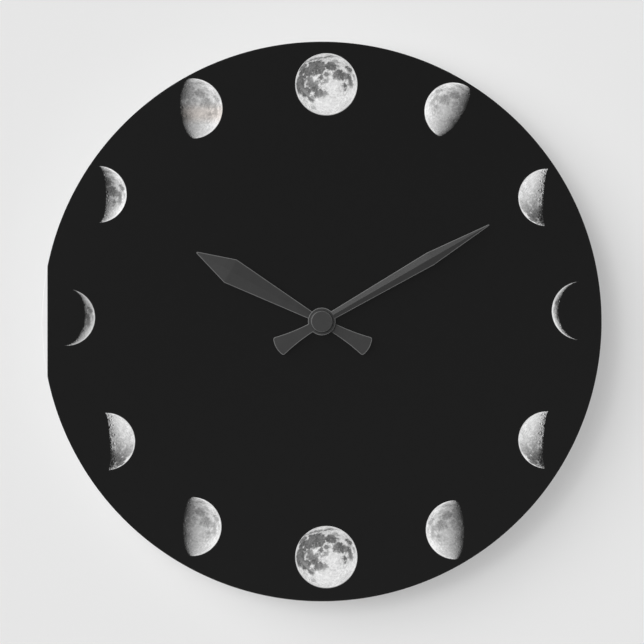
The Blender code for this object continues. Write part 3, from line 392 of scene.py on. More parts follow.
# Dark and light tone, range of the roughness, size of the patches and of the grain, and height
# of the grain
FINISHES = {
    "white_acrylic": (even(0.76), even(0.80), (0.28, 0.36), 0.02, 0.0012, 4e-6),
    "black_print": (even(0.0018), even(0.0022), (0.13, 0.17), 0.004, 0.0004, 2e-7),
    "hand_paint": (even(0.014), even(0.018), (0.31, 0.37), 0.006, 0.0003, 1e-6),
    # The hands' edge paint is lighter than their face: a painted highlight that outlines every edge
    # alike all round
    "hand_edge_painted_highlight": (even(0.135), even(0.165), (0.38, 0.46), 0.004, 0.0003, 1e-6),
    "case_plastic": (even(0.020), even(0.028), (0.42, 0.56), 0.006, 0.0004, 1e-5),
    "knob_plastic": (even(0.030), even(0.038), (0.40, 0.52), 0.003, 0.0003, 6e-6),
    "plate_plastic": (even(0.020), even(0.026), (0.48, 0.60), 0.005, 0.0003, 1e-5),
    "gear_nylon": ((0.56, 0.54, 0.48), (0.63, 0.61, 0.55), (0.36, 0.46), 0.002, 0.0002, 2e-6),
    "turned_brass": ((0.60, 0.41, 0.16), (0.70, 0.50, 0.21), (0.22, 0.36), 0.0012, 0.00012, 3e-6),
    "bright_steel": (even(0.50), even(0.60), (0.20, 0.32), 0.002, 0.0001, 1e-6),
    "motor_iron": ((0.30, 0.30, 0.31), (0.40, 0.40, 0.41), (0.34, 0.48), 0.003, 0.0002, 2e-6),
    "magnet_ferrite": (even(0.035), even(0.050), (0.45, 0.60), 0.001, 0.0001, 4e-6),
    "contact_nickel": ((0.56, 0.54, 0.50), (0.64, 0.62, 0.58), (0.20, 0.34), 0.003, 0.0002, 2e-6),
    "seal_rubber": (even(0.014), even(0.020), (0.70, 0.85), 0.004, 0.0003, 1e-5),
    "chip_epoxy": (even(0.010), even(0.016), (0.18, 0.30), 0.002, 0.0003, 1e-5),
    "battery_sleeve": ((0.030, 0.032, 0.036), (0.036, 0.038, 0.043), (0.26, 0.34), 0.01, 0.0006, 3e-6),
    "battery_metal": (even(0.55), even(0.62), (0.24, 0.36), 0.004, 0.0002, 2e-6),
}


def look(name, finer=(1, 1, 1), turned=False, **values):
    """A surface whose colour drifts between two tones in patches, with a fine grain in its
    sheen and its height. Finer makes both finer along an axis, as on a drawn or rolled piece,
    and turned draws them round the axis of the hands."""
    dark, light, rough, patch, grain, bump = FINISHES[name]
    made, tree, shader = blank(name, **values)
    place = object_place(tree)
    if turned:
        x, y, z = separated(tree, place)
        place = combined(tree, (x * x + z * z).math("SQRT"), y, 0.0)
    else:
        place = vector_math(tree, "MULTIPLY", place, finer)
    drift = noise(tree, place, 1 / patch)
    fine = noise(tree, place, 1 / grain, 4, 0.6)
    colour = mixed(tree, (drift * 0.7 + fine * 0.3).between(0.3, 0.7), dark, light)
    feed(tree, colour, shader.inputs["Base Color"])
    feed(tree, fine.between(0.25, 0.75, *rough), shader.inputs["Roughness"])
    raise_surface(tree, shader, fine, bump)
    return made


# The moons' print: a general map of the near side, from common knowledge of where its seas and
# its bright craters lie

PRINT_SPECULAR = 0.13
# Tone of the bare print, of the land, of the seas' floor and of the brightest ground
INK = 0.0020
BRIGHT, DARK, BRIGHTEST = 0.77, 0.100, 0.95

# Longitude east, latitude north, half width and half height in degrees, and depth of tone
SEAS = (
    (-17, 33, 20, 18, 0.85),
    (17.5, 28, 12.5, 11, 1.0),
    (27, 12, 12, 9, 1.0),
    (35, 5, 13, 9, 1.0),
    (59, 17, 9.5, 7.5, 1.0),
    (50, 0, 9, 8, 0.95),
    (53, -9, 8, 9, 0.85),
    (35.5, -15, 6.4, 6, 0.8),
    (3.6, 13.5, 8, 5.0, 0.75),
    (-2, 2, 9, 4.5, 0.65),
    (-19, -18, 11, 9, 0.9),
    (-9, -20, 7, 7, 0.75),
    (-38.6, -24.4, 7.6, 7.4, 0.95),
    (-23, -8, 10, 8, 0.85),
    (-9, 10, 7, 5, 0.85),
    (-24, 1, 9, 6, 0.8),
    (-31, 8, 12, 10, 0.7),
    (-47, 26, 16, 14, 0.85),
    (-57, 7, 16, 19, 0.9),
    (-45, -9, 14, 11, 0.85),
    (-58, 42, 13, 10, 0.75),
    (-22, 57, 16, 3.8, 0.7),
    (2, 56.5, 15, 3.8, 0.7),
    (27, 55, 14, 3.6, 0.6),
    (-31.5, 44.5, 6, 5.5, 0.85),
    (-56.6, 54, 9, 5, 0.6),
    (30, 38, 9, 6, 0.5),
    (67, 3.5, 4, 6, 0.5),
    (85, 12, 6, 6, 0.6),
    (-52, -43, 7, 5, 0.4),
    (-9.4, 51.6, 3.0, 2.2, 1.0),
    (-68.3, -5.5, 4.2, 3.8, 1.0),
)
# Longitude, latitude, reach in degrees and strength of the bright ray craters
RAY_CRATERS = (
    (-11.4, -43.3, 22, 0.45),
    (-11.4, -43.3, 5.0, 0.6),
    (-20, 9.6, 4.0, 0.6),
    (-20, 9.6, 10, 0.18),
    (-38, 8.1, 3.0, 0.55),
    (-47.5, 23.7, 2.4, 0.7),
    (46.8, 16.1, 2.4, 0.6),
    (61, -9, 3.6, 0.5),
    (54, -32.5, 6, 0.45),
    (31, 34, 2.6, 0.3),
    (16, -10, 12, 0.25),
    (3, -4, 7, 0.3),
    (63, -22, 16, 0.3),
)
# The place that the long rays spread from
RAY_HUB = (-11.4, -43.3)


def moon_axes(longitude, latitude):
    """East, north and outward unit vectors at a place on the moon."""
    lon, lat = math.radians(longitude), math.radians(latitude)
    east = Vector((math.cos(lon), 0, -math.sin(lon)))
    out = Vector((math.cos(lat) * math.sin(lon), math.sin(lat), math.cos(lat) * math.cos(lon)))
    return east, out.cross(east), out


def distance_from(tree, point, longitude, latitude, half_width, half_height):
    """1 at the edge of an oval on the moon, and 0 at its middle."""
    node = tree.nodes.new("ShaderNodeMapping")
    node.vector_type = "TEXTURE"
    turn = Matrix(moon_axes(longitude, latitude)).transposed()
    node.inputs["Rotation"].default_value = turn.to_euler()
    # The height above the oval's plane doesn't count
    across, up = math.sin(math.radians(half_width)), math.sin(math.radians(half_height))
    node.inputs["Scale"].default_value = (across, up, 1e4)
    feed(tree, point, node.inputs["Vector"])
    return Num(tree, vector_math(tree, "LENGTH", node.outputs[0]))


def new_group(name, inputs, outputs):
    group = bpy.data.node_groups.new(name, "ShaderNodeTree")
    for label, kind in inputs:
        group.interface.new_socket(label, in_out="INPUT", socket_type=kind)
    for label, kind in outputs:
        group.interface.new_socket(label, in_out="OUTPUT", socket_type=kind)
    return group, group.nodes.new("NodeGroupInput"), group.nodes.new("NodeGroupOutput")


def lifted(tone, share):
    """A tone brought this share of the way to the brightest ground."""
    return tone + tone.math("MULTIPLY_ADD", -1.0, BRIGHTEST) * share


def make_moon_map():
    """Tone from 0 to 1 at a point of the unit sphere, with +Z towards the viewer."""
    group, start, end = new_group(
        "near_side",
        [
            ("Point", "NodeSocketVector"),
            ("Seas", "NodeSocketFloat"),
            ("Northward", "NodeSocketFloat"),
        ],
        [("Tone", "NodeSocketFloat")],
    )
    point = start.outputs["Point"]
    # The seas' outlines are bent, and then frayed
    bent = point
    for scale, reach in ((2.6, 0.12), (8.0, 0.09)):
        drift = noise(group, point, scale, 3, 0.6, "Color")
        drift = vector_math(group, "SUBTRACT", drift, even(0.5))
        bent = vector_math(group, "ADD", bent, vector_math(group, "SCALE", drift, scale=reach))
    ragged = (noise(group, point, 9, 6, 0.72) - 0.5) * 0.42
    sea = None
    for longitude, latitude, half_width, half_height, depth in SEAS:
        size = math.sin(math.radians(min(half_width, half_height)))
        away = distance_from(group, bent, longitude, latitude, half_width, half_height)
        inside = away.math("MULTIPLY_ADD", -size, ragged)
        one = inside.between(-size - 0.025, -size + 0.045, 0.0, depth)
        sea = one if sea is None else sea.math("MAXIMUM", one)
    _, northing, facing = separated(group, point)
    deep = northing * Num(group, start.outputs["Northward"]) + Num(group, start.outputs["Seas"])
    sea = (sea * deep.math("MAXIMUM", 0.0)).math("MINIMUM", 0.97)
    # Tones of the land and of the seas' floor
    mottle = noise(group, point, 13, 5, 0.75)
    blots = noise(group, point, 3.4, 3, 0.55)
    south = northing.between(-0.9, 0.5, 1.05, 0.95)
    land = mottle.between(0.34, 0.66, 0.70, 1.14) * blots.between(0.35, 0.65, 0.84, 1.06) * south
    floor = mottle.between(0.34, 0.66, 0.62, 1.75) * blots.between(0.35, 0.65, 0.80, 1.25)
    tone = land * BRIGHT + (floor * DARK - land * BRIGHT) * sea
    # Small bright craters, and the large ones with their glow
    pits = group.nodes.new("ShaderNodeTexVoronoi")
    pits.inputs["Scale"].default_value = 11
    feed(group, point, pits.inputs["Vector"])
    fresh = separated(group, pits.outputs["Color"])[0].between(0.55, 0.75)
    speck = Num(group, pits.outputs["Distance"]).between(0.10, 0.34, 0.30, 0.0)
    tone = lifted(tone, speck * fresh)
    for longitude, latitude, reach, strength in RAY_CRATERS:
        away = distance_from(group, bent, longitude, latitude, reach, reach)
        tone = lifted(tone, away.between(0.0, 1.6, strength, 0.0))
    # Rays that spread from one place, a little brighter edge, and a thin dark rim
    east, north, _ = moon_axes(*RAY_HUB)
    plane = combined(
        group,
        Num(group, vector_math(group, "DOT_PRODUCT", point, east)),
        Num(group, vector_math(group, "DOT_PRODUCT", point, north)),
        0.0,
    )
    spread = Num(group, vector_math(group, "LENGTH", plane))
    spokes = noise(group, vector_math(group, "NORMALIZE", plane), 5.5, 2, 0.7)
    rays = spokes.between(0.50, 0.68) * spread.between(0.05, 1.25, 0.34, 0.0)
    tone = lifted(tone, rays)
    tone = tone * facing.between(0.0, 0.35, 1.10, 1.0) * facing.between(0.02, 0.20, 0.25, 1.0)
    feed(group, tone, end.inputs["Tone"])
    return group


def make_moon_relief():
    """Height of the ground at a point of the unit sphere: rough land and ringed craters."""
    group, start, end = new_group(
        "relief", [("Point", "NodeSocketVector")], [("Height", "NodeSocketFloat")]
    )
    point = start.outputs["Point"]
    height = noise(group, point, 9, 5, 0.6)
    for scale, depth in ((7.0, 0.9), (15.0, 0.6)):
        cells = group.nodes.new("ShaderNodeTexVoronoi")
        cells.inputs["Scale"].default_value = scale
        feed(group, point, cells.inputs["Vector"])
        away = Num(group, cells.outputs["Distance"])
        height = height + away.between(0.12, 0.36, -depth, 0.0)
        height = height + away.between(0.36, 0.60, depth * 0.35, 0.0)
    feed(group, height, end.inputs["Height"])
    return group


def use_group(tree, group, point, **values):
    """What a group makes of a point."""
    node = tree.nodes.new("ShaderNodeGroup")
    node.node_tree = group
    feed(tree, point, node.inputs["Point"])
    for label, value in values.items():
        node.inputs[label].default_value = value
    return Num(tree, node.outputs[0])


def moon_material(name, groups, radius, lit, lit_share, view):
    """The print of one moon, lit from this direction (in radians), as MOON_VIEWS says."""
    near_side, relief = groups
    roll, mirror, nod, seas, northward, strength, fall, rough, warm = view
    made, tree, shader = blank(name, Roughness=0.15, Specular_IOR_Level=PRINT_SPECULAR)
    place = vector_math(tree, "SCALE", object_place(tree), scale=1 / radius)
    u, _, v = separated(tree, place)
    inside = (u * u + v * v).math("MULTIPLY_ADD", -1.0, 1.0)
    w = inside.math("MAXIMUM", 0.0).math("SQRT")
    roll_back = Matrix.Rotation(math.radians(-mirror * roll), 3, "Z")
    turn = Matrix.Rotation(math.radians(nod), 3, "X") @ roll_back
    seen = tree.nodes.new("ShaderNodeMapping")
    seen.inputs["Scale"].default_value = (mirror, 1, 1)
    seen.inputs["Rotation"].default_value = turn.to_euler()
    feed(tree, combined(tree, u, v, w), seen.inputs["Vector"])
    point = seen.outputs[0]
    tone = use_group(tree, near_side, point, Seas=seas, Northward=northward)
    if lit_share < 1:
        # The light on the sphere, and on ground that rises or falls towards the sun
        phase = math.acos(lit_share)
        along = u * math.sin(lit) + v * math.cos(lit)
        sun = along * math.sin(phase) + w * math.cos(phase)
        step = turn @ Vector((mirror * math.sin(lit), math.cos(lit), 0.0)) * 0.02
        nearer = vector_math(tree, "ADD", point, step)
        slope = use_group(tree, relief, point) - use_group(tree, relief, nearer)
        shade = slope * sun.between(0.0, 0.6, 0.40, 0.06)
        sun = sun + slope * sun.between(0.0, 0.5, rough, 0.0)
        sun = sun.math("MAXIMUM", 0.0)
        light = (sun * 2.0) / (sun + w + 0.04)
        north = separated(tree, point)[1].math("MAXIMUM", 0.0)
        light = (light.math("MINIMUM", 1.25) * sun.between(0.0, 0.03)) ** (north * northward + fall)
        tone = tone * (light + shade * light).math("MAXIMUM", 0.0)
    paint = combined(tree, *even(tone * strength))
    if warm:
        middle = (v + 0.16).math("ABSOLUTE").between(0.05, 0.42, 1.0, 0.0)
        tint = mixed(tree, middle, (1.0, 1.0, 1.0), (1.0, 0.93, 0.88))
        paint = vector_math(tree, "MULTIPLY", tint, paint)
    feed(tree, vector_math(tree, "ADD", paint, even(INK)), shader.inputs["Base Color"])
    return made


# Hour: roll anticlockwise, mirror (-1 turns the map left for right first), nod of the north
# pole away from the viewer, depth of the seas and how much deeper they get northward, strength,
# how fast the light falls off towards the shadow, roughness of the shadow line, and whether a
# warm tint crosses the middle. The angles are in degrees.
MOON_VIEWS = {
    12: (11, 1, 4.5, 1.15, 0.0, 0.97, 1.0, 0.10, False),
    1: (-33, -1, 2, 0.46, 0.10, 0.90, 1.10, 0.12, False),
    2: (192, -1, 0, 0.42, 1.15, 0.98, 0.44, 0.55, False),
    3: (0, -1, 0, 0.7, 0.0, 0.93, 0.95, 0.20, False),
    4: (192, -1, 0, 0.42, 1.15, 0.98, 0.44, 0.55, False),
    5: (3, -1, 2, 0.46, 0.10, 0.87, 1.15, 0.12, False),
    6: (11, 1, 4.5, 1.15, 0.0, 0.97, 1.0, 0.10, False),
    7: (-3, 1, 2, 0.46, 0.10, 0.87, 1.15, 0.12, False),
    8: (168, 1, 0, 0.42, 1.15, 0.98, 0.44, 0.55, False),
    9: (-3, 1, 0, 0.8, 0.0, 0.70, 0.75, 0.20, False),
    10: (-5, 1, 0, 0.80, 0.0, 1.03, 0.88, 0.20, False),
    11: (0, 1, 2, 0.42, 0.10, 0.90, 1.0, 0.12, True),
}
# Centre x and z and radius as shares of the disc's radius, lit direction in degrees, lit share
MOON_SHARES = {
    12: (0.0161, 0.8467, 0.1113, 90, 1.0),
    1: (0.4688, 0.7508, 0.1025, 302, 0.34),
    2: (0.8042, 0.4431, 0.1025, 273, -0.13),
    3: (0.9258, 0.0381, 0.1047, 270, -0.77),
    4: (0.8042, -0.4234, 0.1025, 273, -0.13),
    5: (0.4768, -0.7442, 0.1055, 269, 0.31),
    6: (0.0161, -0.8416, 0.1113, 90, 1.0),
    7: (-0.4637, -0.7325, 0.1055, 91, 0.31),
    8: (-0.7691, -0.4285, 0.1025, 87, -0.13),
    9: (-0.9105, 0.0146, 0.1011, 98, -0.63),
    10: (-0.7977, 0.4541, 0.1011, 89, -0.27),
    11: (-0.4622, 0.7603, 0.1077, 85, 0.40),
}


def moon_outline(radius, lit, lit_share):
    """The lit part of a moon: half a circle, and half an ellipse for its shadow line."""
    if lit_share == 1:
        return circle(radius)
    limb = [polar(lit - math.pi / 2 + math.pi * k / 64, radius) for k in range(65)]
    shadow = []
    for k in range(1, 48):
        along = math.pi / 2 - math.pi * k / 48
        past_centre = polar(lit, -lit_share * radius * math.cos(along))
        shadow.append(polar(lit + math.pi / 2, radius * math.sin(along), past_centre))
    return limb + shadow


def make_moons():
    """The twelve moons that stand in place of numerals."""
    groups = make_moon_map(), make_moon_relief()
    for hour, (x, z, radius, lit, lit_share) in MOON_SHARES.items():
        node = f"moon_{hour:02d}"
        back, front = depths(node)
        centre = (x * DISC_RADIUS, -back, z * DISC_RADIUS)
        radius *= DISC_RADIUS
        lit = math.radians(lit)
        view = MOON_VIEWS[hour]
        material = moon_material(f"{node}_print", groups, radius, lit, lit_share, view)
        outline = [(centre[0] + a, centre[2] + b) for a, b in moon_outline(radius, lit, lit_share)]
        piece(f"{node}_film", slab(outline, back, front), material, node, centre)


def make_dial():
    """The white disc and the black film on its face."""
    acrylic = look("white_acrylic", Specular_IOR_Level=0.5)
    outline = eased(ring(HOLE_RADIUS, DISC_RADIUS, *depths("acrylic_disc")), 0.0003)
    piece("disc", lathe(outline, 384), acrylic, "acrylic_disc")
    ink = look("black_print", Specular_IOR_Level=PRINT_SPECULAR)
    back, front = depths("face_print")
    # The film stops just short of the disc's edge, and in a straight line at the left
    left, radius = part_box("face_print")[0].x, DISC_RADIUS - 0.0001
    bare = math.acos(-left / radius)
    first, sweep, steps = bare - math.pi / 2, math.tau - 2 * bare, 380
    rim = [polar(first + sweep * k / steps, radius) for k in range(steps + 1)]
    film = pierced(rim, circle(HOLE_RADIUS, 64), back, front)
    piece("print_film", film, ink, "face_print")


# Hands

# Thickness of their sheet, and the bevel along its edges: its width, and how far it drops
SHEET = 0.0005
EDGE = 0.00030
EDGE_DROP = 0.00006
# The hub's disc stands out behind the sheet and stays just below its front, so that its edge
# makes no line across the blade and the tail. The cap hides its thicker middle.
HUB_BEHIND = 0.0001
HUB_SUNK = 0.00001
HUB_MIDDLE_RADIUS = 0.0052
HUB_MIDDLE_FRONT = 0.001

# Depth of the back of the hour hand's sheet
HOUR_SHEET_DEPTH = 0.0282
# Distances along the blades from the axis, and their half widths there
HOUR_BLADE = {
    "start": 0.0042,
    "reach": 0.0696,
    "shoulder": 0.0507,
    "root_half": 0.00142,
    "shoulder_half": 0.00633,
    "tip_half": 0.00054,
    "rounding": 0.0004,
}
MINUTE_BLADE = {
    "start": 0.0063,
    "reach": 0.0940,
    "shoulder": 0.0610,
    "root_half": 0.00186,
    "shoulder_half": 0.00346,
    "tip_half": 0.00034,
    "rounding": 0.0015,
}


def tail_outline(reach):
    """Half width and distance along the tail, from the middle of its round end to the hub."""
    end_half, end_rise, root_half, corner = 0.0050, 0.0012, 0.0021, 0.0011
    flare, inside_hub = 2.2, 0.0042
    end_radius = (end_half**2 + end_rise**2) / (2 * end_rise)
    spread = math.asin(end_half / end_radius) * (1 - corner / end_half)
    length = reach - end_rise

    def flank(share):
        return Vector((root_half + (end_half - root_half) * share**flare, -length * share))

    stations = []
    for k in range(11):
        across, along = polar(spread * k / 10, end_radius)
        stations.append(Vector((across, end_radius - along - reach)))
    stations += curve(stations[-1], flank(1.0), flank(1 - corner / length), 6)[1:]
    for k in range(1, 21):
        along = corner + k / 20 * (length - corner - inside_hub)
        stations.append(flank(1 - along / length))
    return stations


def blade_outline(start, reach, shoulder, root_half, shoulder_half, tip_half, rounding):
    """Half width and distance along the blade, from the hub to the middle of its tip."""
    root_start = 0.0012
    share = (start - root_start) / (shoulder - root_start)
    grown = root_half + (shoulder_half - root_half) * share
    return [
        (grown, start),
        (shoulder_half - 0.04 * rounding, shoulder - rounding),
        (shoulder_half, shoulder),
        (shoulder_half - 0.12 * rounding, shoulder + rounding),
        (tip_half, reach - tip_half),
        (0.75 * tip_half, reach - 0.35 * tip_half),
        (0.3 * tip_half, reach),
        (0.0, reach),
    ]


def half_at(stations, distance):
    """Half width at a distance along a blade."""
    for (near, start), (far, end) in zip(stations, stations[1:]):
        if start <= distance <= end and end > start:
            return near + (far - near) * (distance - start) / (end - start)
    return stations[0][0] if distance < stations[0][1] else 0.0


def blade_shape(stations, crown, back, closed_end):
    """A sheet with these half widths, a ridge along it, and a bevelled front edge. The faces
    of the bevel and of the cut side come last, so that they can take the lighter edge paint,
    a painted highlight along the hand's outline."""
    sections = []
    front = back + SHEET
    for k, (half, distance) in enumerate(stations):
        before = stations[max(k - 1, 0)]
        after = stations[min(k + 1, len(stations) - 1)]
        along = Vector((after[0] - before[0], after[1] - before[1])).normalized()
        normal = Vector((along.y, -along.x))
        if half < 1e-9:
            normal = Vector((0.0, math.copysign(1.0, distance)))
        elif (k == 0 and closed_end == "last") or (k == len(stations) - 1 and closed_end == "first"):
            normal = Vector((1.0, 0.0))
        inset_half = max(0.0, half - EDGE * normal.x)
        inset = distance - EDGE * normal.y
        full = half_at(stations, inset) if crown else 0.0
        lift = crown * max(0.0, full - inset_half)
        section = [(0.0, back + crown * half, distance)]
        section += [(half, back, distance), (half, front - EDGE_DROP, distance)]
        section += [(inset_half, front + lift, inset), (0.0, front + crown * full, inset)]
        section += [(-inset_half, front + lift, inset)]
        section += [(-half, front - EDGE_DROP, distance), (-half, back, distance)]
        sections.append(section)
    verts = [(x, -depth, z) for section in sections for x, depth, z in section]
    faces, edges = [], []
    count, bevelled = len(sections[0]), (1, 2, 5, 6)
    places = [range(k * count, (k + 1) * count) for k in range(len(sections))]
    for one, two in zip(places, places[1:]):
        for j, face in enumerate(band(one, two)):
            (edges if j in bevelled else faces).append(face)
    faces.append(tuple(places[0 if closed_end == "last" else -1]))
    return verts, faces, edges


def split(shape, first, last):
    """A shape's vertices, its faces, and those of its faces that take the lighter edge paint, a
    painted highlight.
    """
    verts, faces = shape
    return verts, faces[:first] + faces[last:], faces[first:last]


def hub_shape(radius, bore, back):
    """The round middle of a hand, whose sheet has its back at this depth."""
    flat, front, behind = back + SHEET - HUB_SUNK, back + HUB_MIDDLE_FRONT, back - HUB_BEHIND
    profile = [(bore, behind), (radius, behind), (radius, flat - EDGE_DROP), (radius - EDGE, flat)]
    profile += [(HUB_MIDDLE_RADIUS, flat), (HUB_MIDDLE_RADIUS, front), (bore, front)]
    # The hub's side and bevel take the lighter edge paint, a painted highlight
    return split(lathe(profile), SIDES, 3 * SIDES)


def hand_shapes(blade, crown, tail_reach, hub_radius, bore, back):
    """Blade, tail and hub. The crown is the slope of the blade towards its ridge."""
    return [
        blade_shape(blade_outline(**blade), crown, back, "last"),
        blade_shape(tail_outline(tail_reach), 0.0, back, "first"),
        hub_shape(hub_radius, bore, back),
    ]


def make_hand(name, node, shapes, direction, materials):
    """A piece of shapes whose edge faces take a lighter paint, a painted highlight, turned to a
    direction in degrees.
    """
    work = bmesh.new()
    for verts, faces, edges in shapes:
        made = [work.verts.new(v) for v in verts]
        for group, index in ((faces, 0), (edges, 1)):
            for face in group:
                corners = list(dict.fromkeys(made[k] for k in face))
                if len({tuple(round(c, 9) for c in v.co) for v in corners}) > 2:
                    work.faces.new(corners).material_index = index
    bmesh.ops.remove_doubles(work, verts=work.verts, dist=1e-7)
    bmesh.ops.recalc_face_normals(work, faces=work.faces)
    mesh = bpy.data.meshes.new(name)
    work.to_mesh(mesh)
    work.free()
    mesh.transform(Matrix.Rotation(math.radians(direction), 4, "Y"))
    dress(name, mesh, materials, node, smooth=3.0)


def cap_shape():
    """The cap nut: a foot, steep sides, a bevel and a flat top, hollow from behind."""
    back, front = depths("cap_nut")
    bore, foot, side, bevel, roof = 0.0019, 0.0055, 0.0051, 0.00022, 0.0010
    outline = [(bore, back), (foot, back), (foot, back + 0.0004), (side, back + 0.0006)]
    outline += [(side, front - bevel), (side - bevel, front)]
    outline += [(0, front), (0, front - roof), (bore, front - roof)]
    # The bevel round the top takes the lighter edge paint, a painted highlight
    return split(lathe(outline), 4 * SIDES, 5 * SIDES)


def make_hands():
    """The two hands and the cap nut that holds them."""
    materials = [
        look("hand_paint", Specular_IOR_Level=0.26),
        # The second material is the lighter paint for every bevel and cut side: a painted highlight
        # along the edges
        look("hand_edge_painted_highlight", Specular_IOR_Level=0.10),
    ]
    hour = {"crown": 0.08, "tail_reach": 0.0264, "hub_radius": 0.0064, "bore": 0.0028}
    shapes = hand_shapes(HOUR_BLADE, **hour, back=HOUR_SHEET_DEPTH)
    make_hand("hour_blade", "hour_hand", shapes, -61.1, materials)
    minute = {"crown": 0.16, "tail_reach": 0.0256, "hub_radius": 0.0067, "bore": 0.0019}
    shapes = hand_shapes(MINUTE_BLADE, **minute, back=depths("minute_hand")[0] + HUB_BEHIND)
    make_hand("minute_blade", "minute_hand", shapes, 60.0, materials)
    make_hand("cap", "cap_nut", [cap_shape()], 0.0, materials)


# Fastening, movement and battery


def threaded(radius, depth, pitch, start, end):
    """The (radius, depth) points of a thread's flanks."""
    count = int((end - start) / pitch)
    points = []
    for k in range(count):
        foot = end - (count - k) * pitch
        points += [(radius - depth, foot + 0.1 * pitch), (radius, foot + 0.5 * pitch)]
        points += [(radius, foot + 0.62 * pitch)]
    return points


def nut_shape(across_flats, hole, back, front):
    """A hexagon whose corners are turned down to a circle at both faces."""
    steps, chamfer, slope = 96, across_flats / 2, math.tan(math.radians(30))
    rings = []
    kinds = ("hole", "face", "side")
    for depth, kind in [(back, kind) for kind in kinds] + [(front, kind) for kind in kinds[::-1]]:
        inward = 1 if depth == back else -1
        points = []
        for k in range(steps):
            turn = math.tau * k / steps
            off = (turn + math.pi / 6) % (math.pi / 3) - math.pi / 6
            full = across_flats / 2 / math.cos(off)
            if kind == "hole":
                points.append((*polar(turn, hole), depth))
            elif kind == "face":
                points.append((*polar(turn, min(full, chamfer)), depth))
            else:
                drop = max(0.0, full - chamfer) * slope
                points.append((*polar(turn, full), depth + inward * max(drop, 1e-5)))
        rings.append(points)
    verts = [(x, -depth, z) for points in rings for x, z, depth in points]
    places = [range(j * steps, (j + 1) * steps) for j in range(len(rings))]
    faces = []
    for one, two in zip(places, places[1:] + places[:1]):
        faces += band(one, two)
    return verts, faces


def make_fastening(brass, rubber):
    """Seal, washer and nut on the movement's bush."""
    outline = eased(ring(0.0063, 0.0200, *depths("rubber_gasket")), 0.0002)
    piece("seal", lathe(outline), rubber, "rubber_gasket")
    outline = eased(ring(HOLE_RADIUS, 0.0065, *depths("flat_washer")), 0.00012)
    piece("washer", lathe(outline), brass, "flat_washer")
    nut = nut_shape(0.0110, HOLE_RADIUS, *depths("hex_nut"))
    piece("nut", nut, brass, "hex_nut")
    back, front = depths("threaded_bush")
    bore, crest, flange, thread = 0.0028, 0.00385, 0.0060, 0.00022
    flange_back, flange_front, thread_start, pitch = 0.0167, 0.0175, 0.0233, 0.00075
    outline = [(bore, back), (crest, back), (crest, flange_back), (flange, flange_back)]
    outline += [(flange, flange_front), (crest - thread, flange_front)]
    outline += threaded(crest, thread, pitch, thread_start, front)
    outline += [(crest - thread, front), (bore, front)]
    piece("bush", lathe(outline, 96), brass, "threaded_bush")


def make_battery():
    """The cell in its sleeve, with both of its metal ends."""
    sleeve = look("battery_sleeve")
    metal = look("battery_metal", Metallic=1.0)
    low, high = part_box("aa_battery")
    middle = (low + high) / 2
    lie_down = Matrix.Translation((0, middle.y, middle.z)) @ Matrix.Rotation(math.pi / 2, 4, "Z")
    left, right, radius = low.x, high.x, (high.z - low.z) / 2
    # The sleeve, from the folded edge at the flat end to the one at the button's end
    body = [
        (0, left + 0.00035),
        (0.0062, left + 0.00035),
        (0.0064, left + 0.00012),
        (0.0069, left + 0.00012),
        (radius - 0.00008, left + 0.00035),
        (radius, left + 0.0007),
        (radius, right - 0.0019),
        (radius - 0.0001, right - 0.0015),
        (0.0067, right - 0.0012),
        (0.0060, right - 0.0012),
        (0.0058, right - 0.00135),
        (0, right - 0.00135),
    ]
    piece("cell_sleeve", lathe(body, 96), sleeve, "aa_battery", turn=lie_down)
    foot = [(0, left), (0.0050, left), (0.0055, left + 0.00012), (0.0058, left + 0.00034)]
    foot += [(0, left + 0.00034)]
    button = [(0, right - 0.00134), (0.0042, right - 0.00134), (0.0040, right - 0.0011)]
    button += [(0.00275, right - 0.0011), (0.00275, right - 0.0002), (0.0025, right)]
    button += [(0, right)]
    ends = merged(lathe(foot, 96), lathe(button, 96))
    piece("cell_ends", ends, metal, "aa_battery", turn=lie_down)


def cover_marks():
    """What is sunk into the back cover: a double arrow round the knob, and the battery's signs."""
    low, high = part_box("setting_knob")
    knob = ((low.x + high.x) / 2, (low.z + high.z) / 2)
    middle, half_line, half_head, sweep, head = 0.0088, 0.0003, 0.0009, 0.85, 0.19
    arrow = []
    for side, radius in ((1, middle - half_line), (-1, middle + half_line)):
        arrow += [polar(side * sweep * (k / 8 - 1), radius, knob) for k in range(17)]
        arrow.append(polar(side * sweep, middle - side * half_head, knob))
        arrow.append(polar(side * (sweep + head), middle, knob))
        arrow.append(polar(side * sweep, middle + side * half_head, knob))
    shapes = [arrow]
    long, thin, height, aside = 0.0015, 0.0003, -0.0072, 0.0212
    for across in (-aside, aside):
        half = [(-long, -thin), (long, -thin)]
        if across > 0:
            half[1:1] = [(-thin, -thin), (-thin, -long), (thin, -long), (thin, -thin)]
        sign = half + [(-x, -z) for x, z in half]
        shapes.append([(across + x, height + z) for x, z in sign])
    proud, sunk = 0.0002, 0.0004
    return merged(*(slab(outline, -proud, sunk) for outline in shapes))


def put_on(material, *names):
    """Puts a material on CAD nodes that stay."""
    for name in names:
        for held in nodes[name].material_slots:
            held.material = material


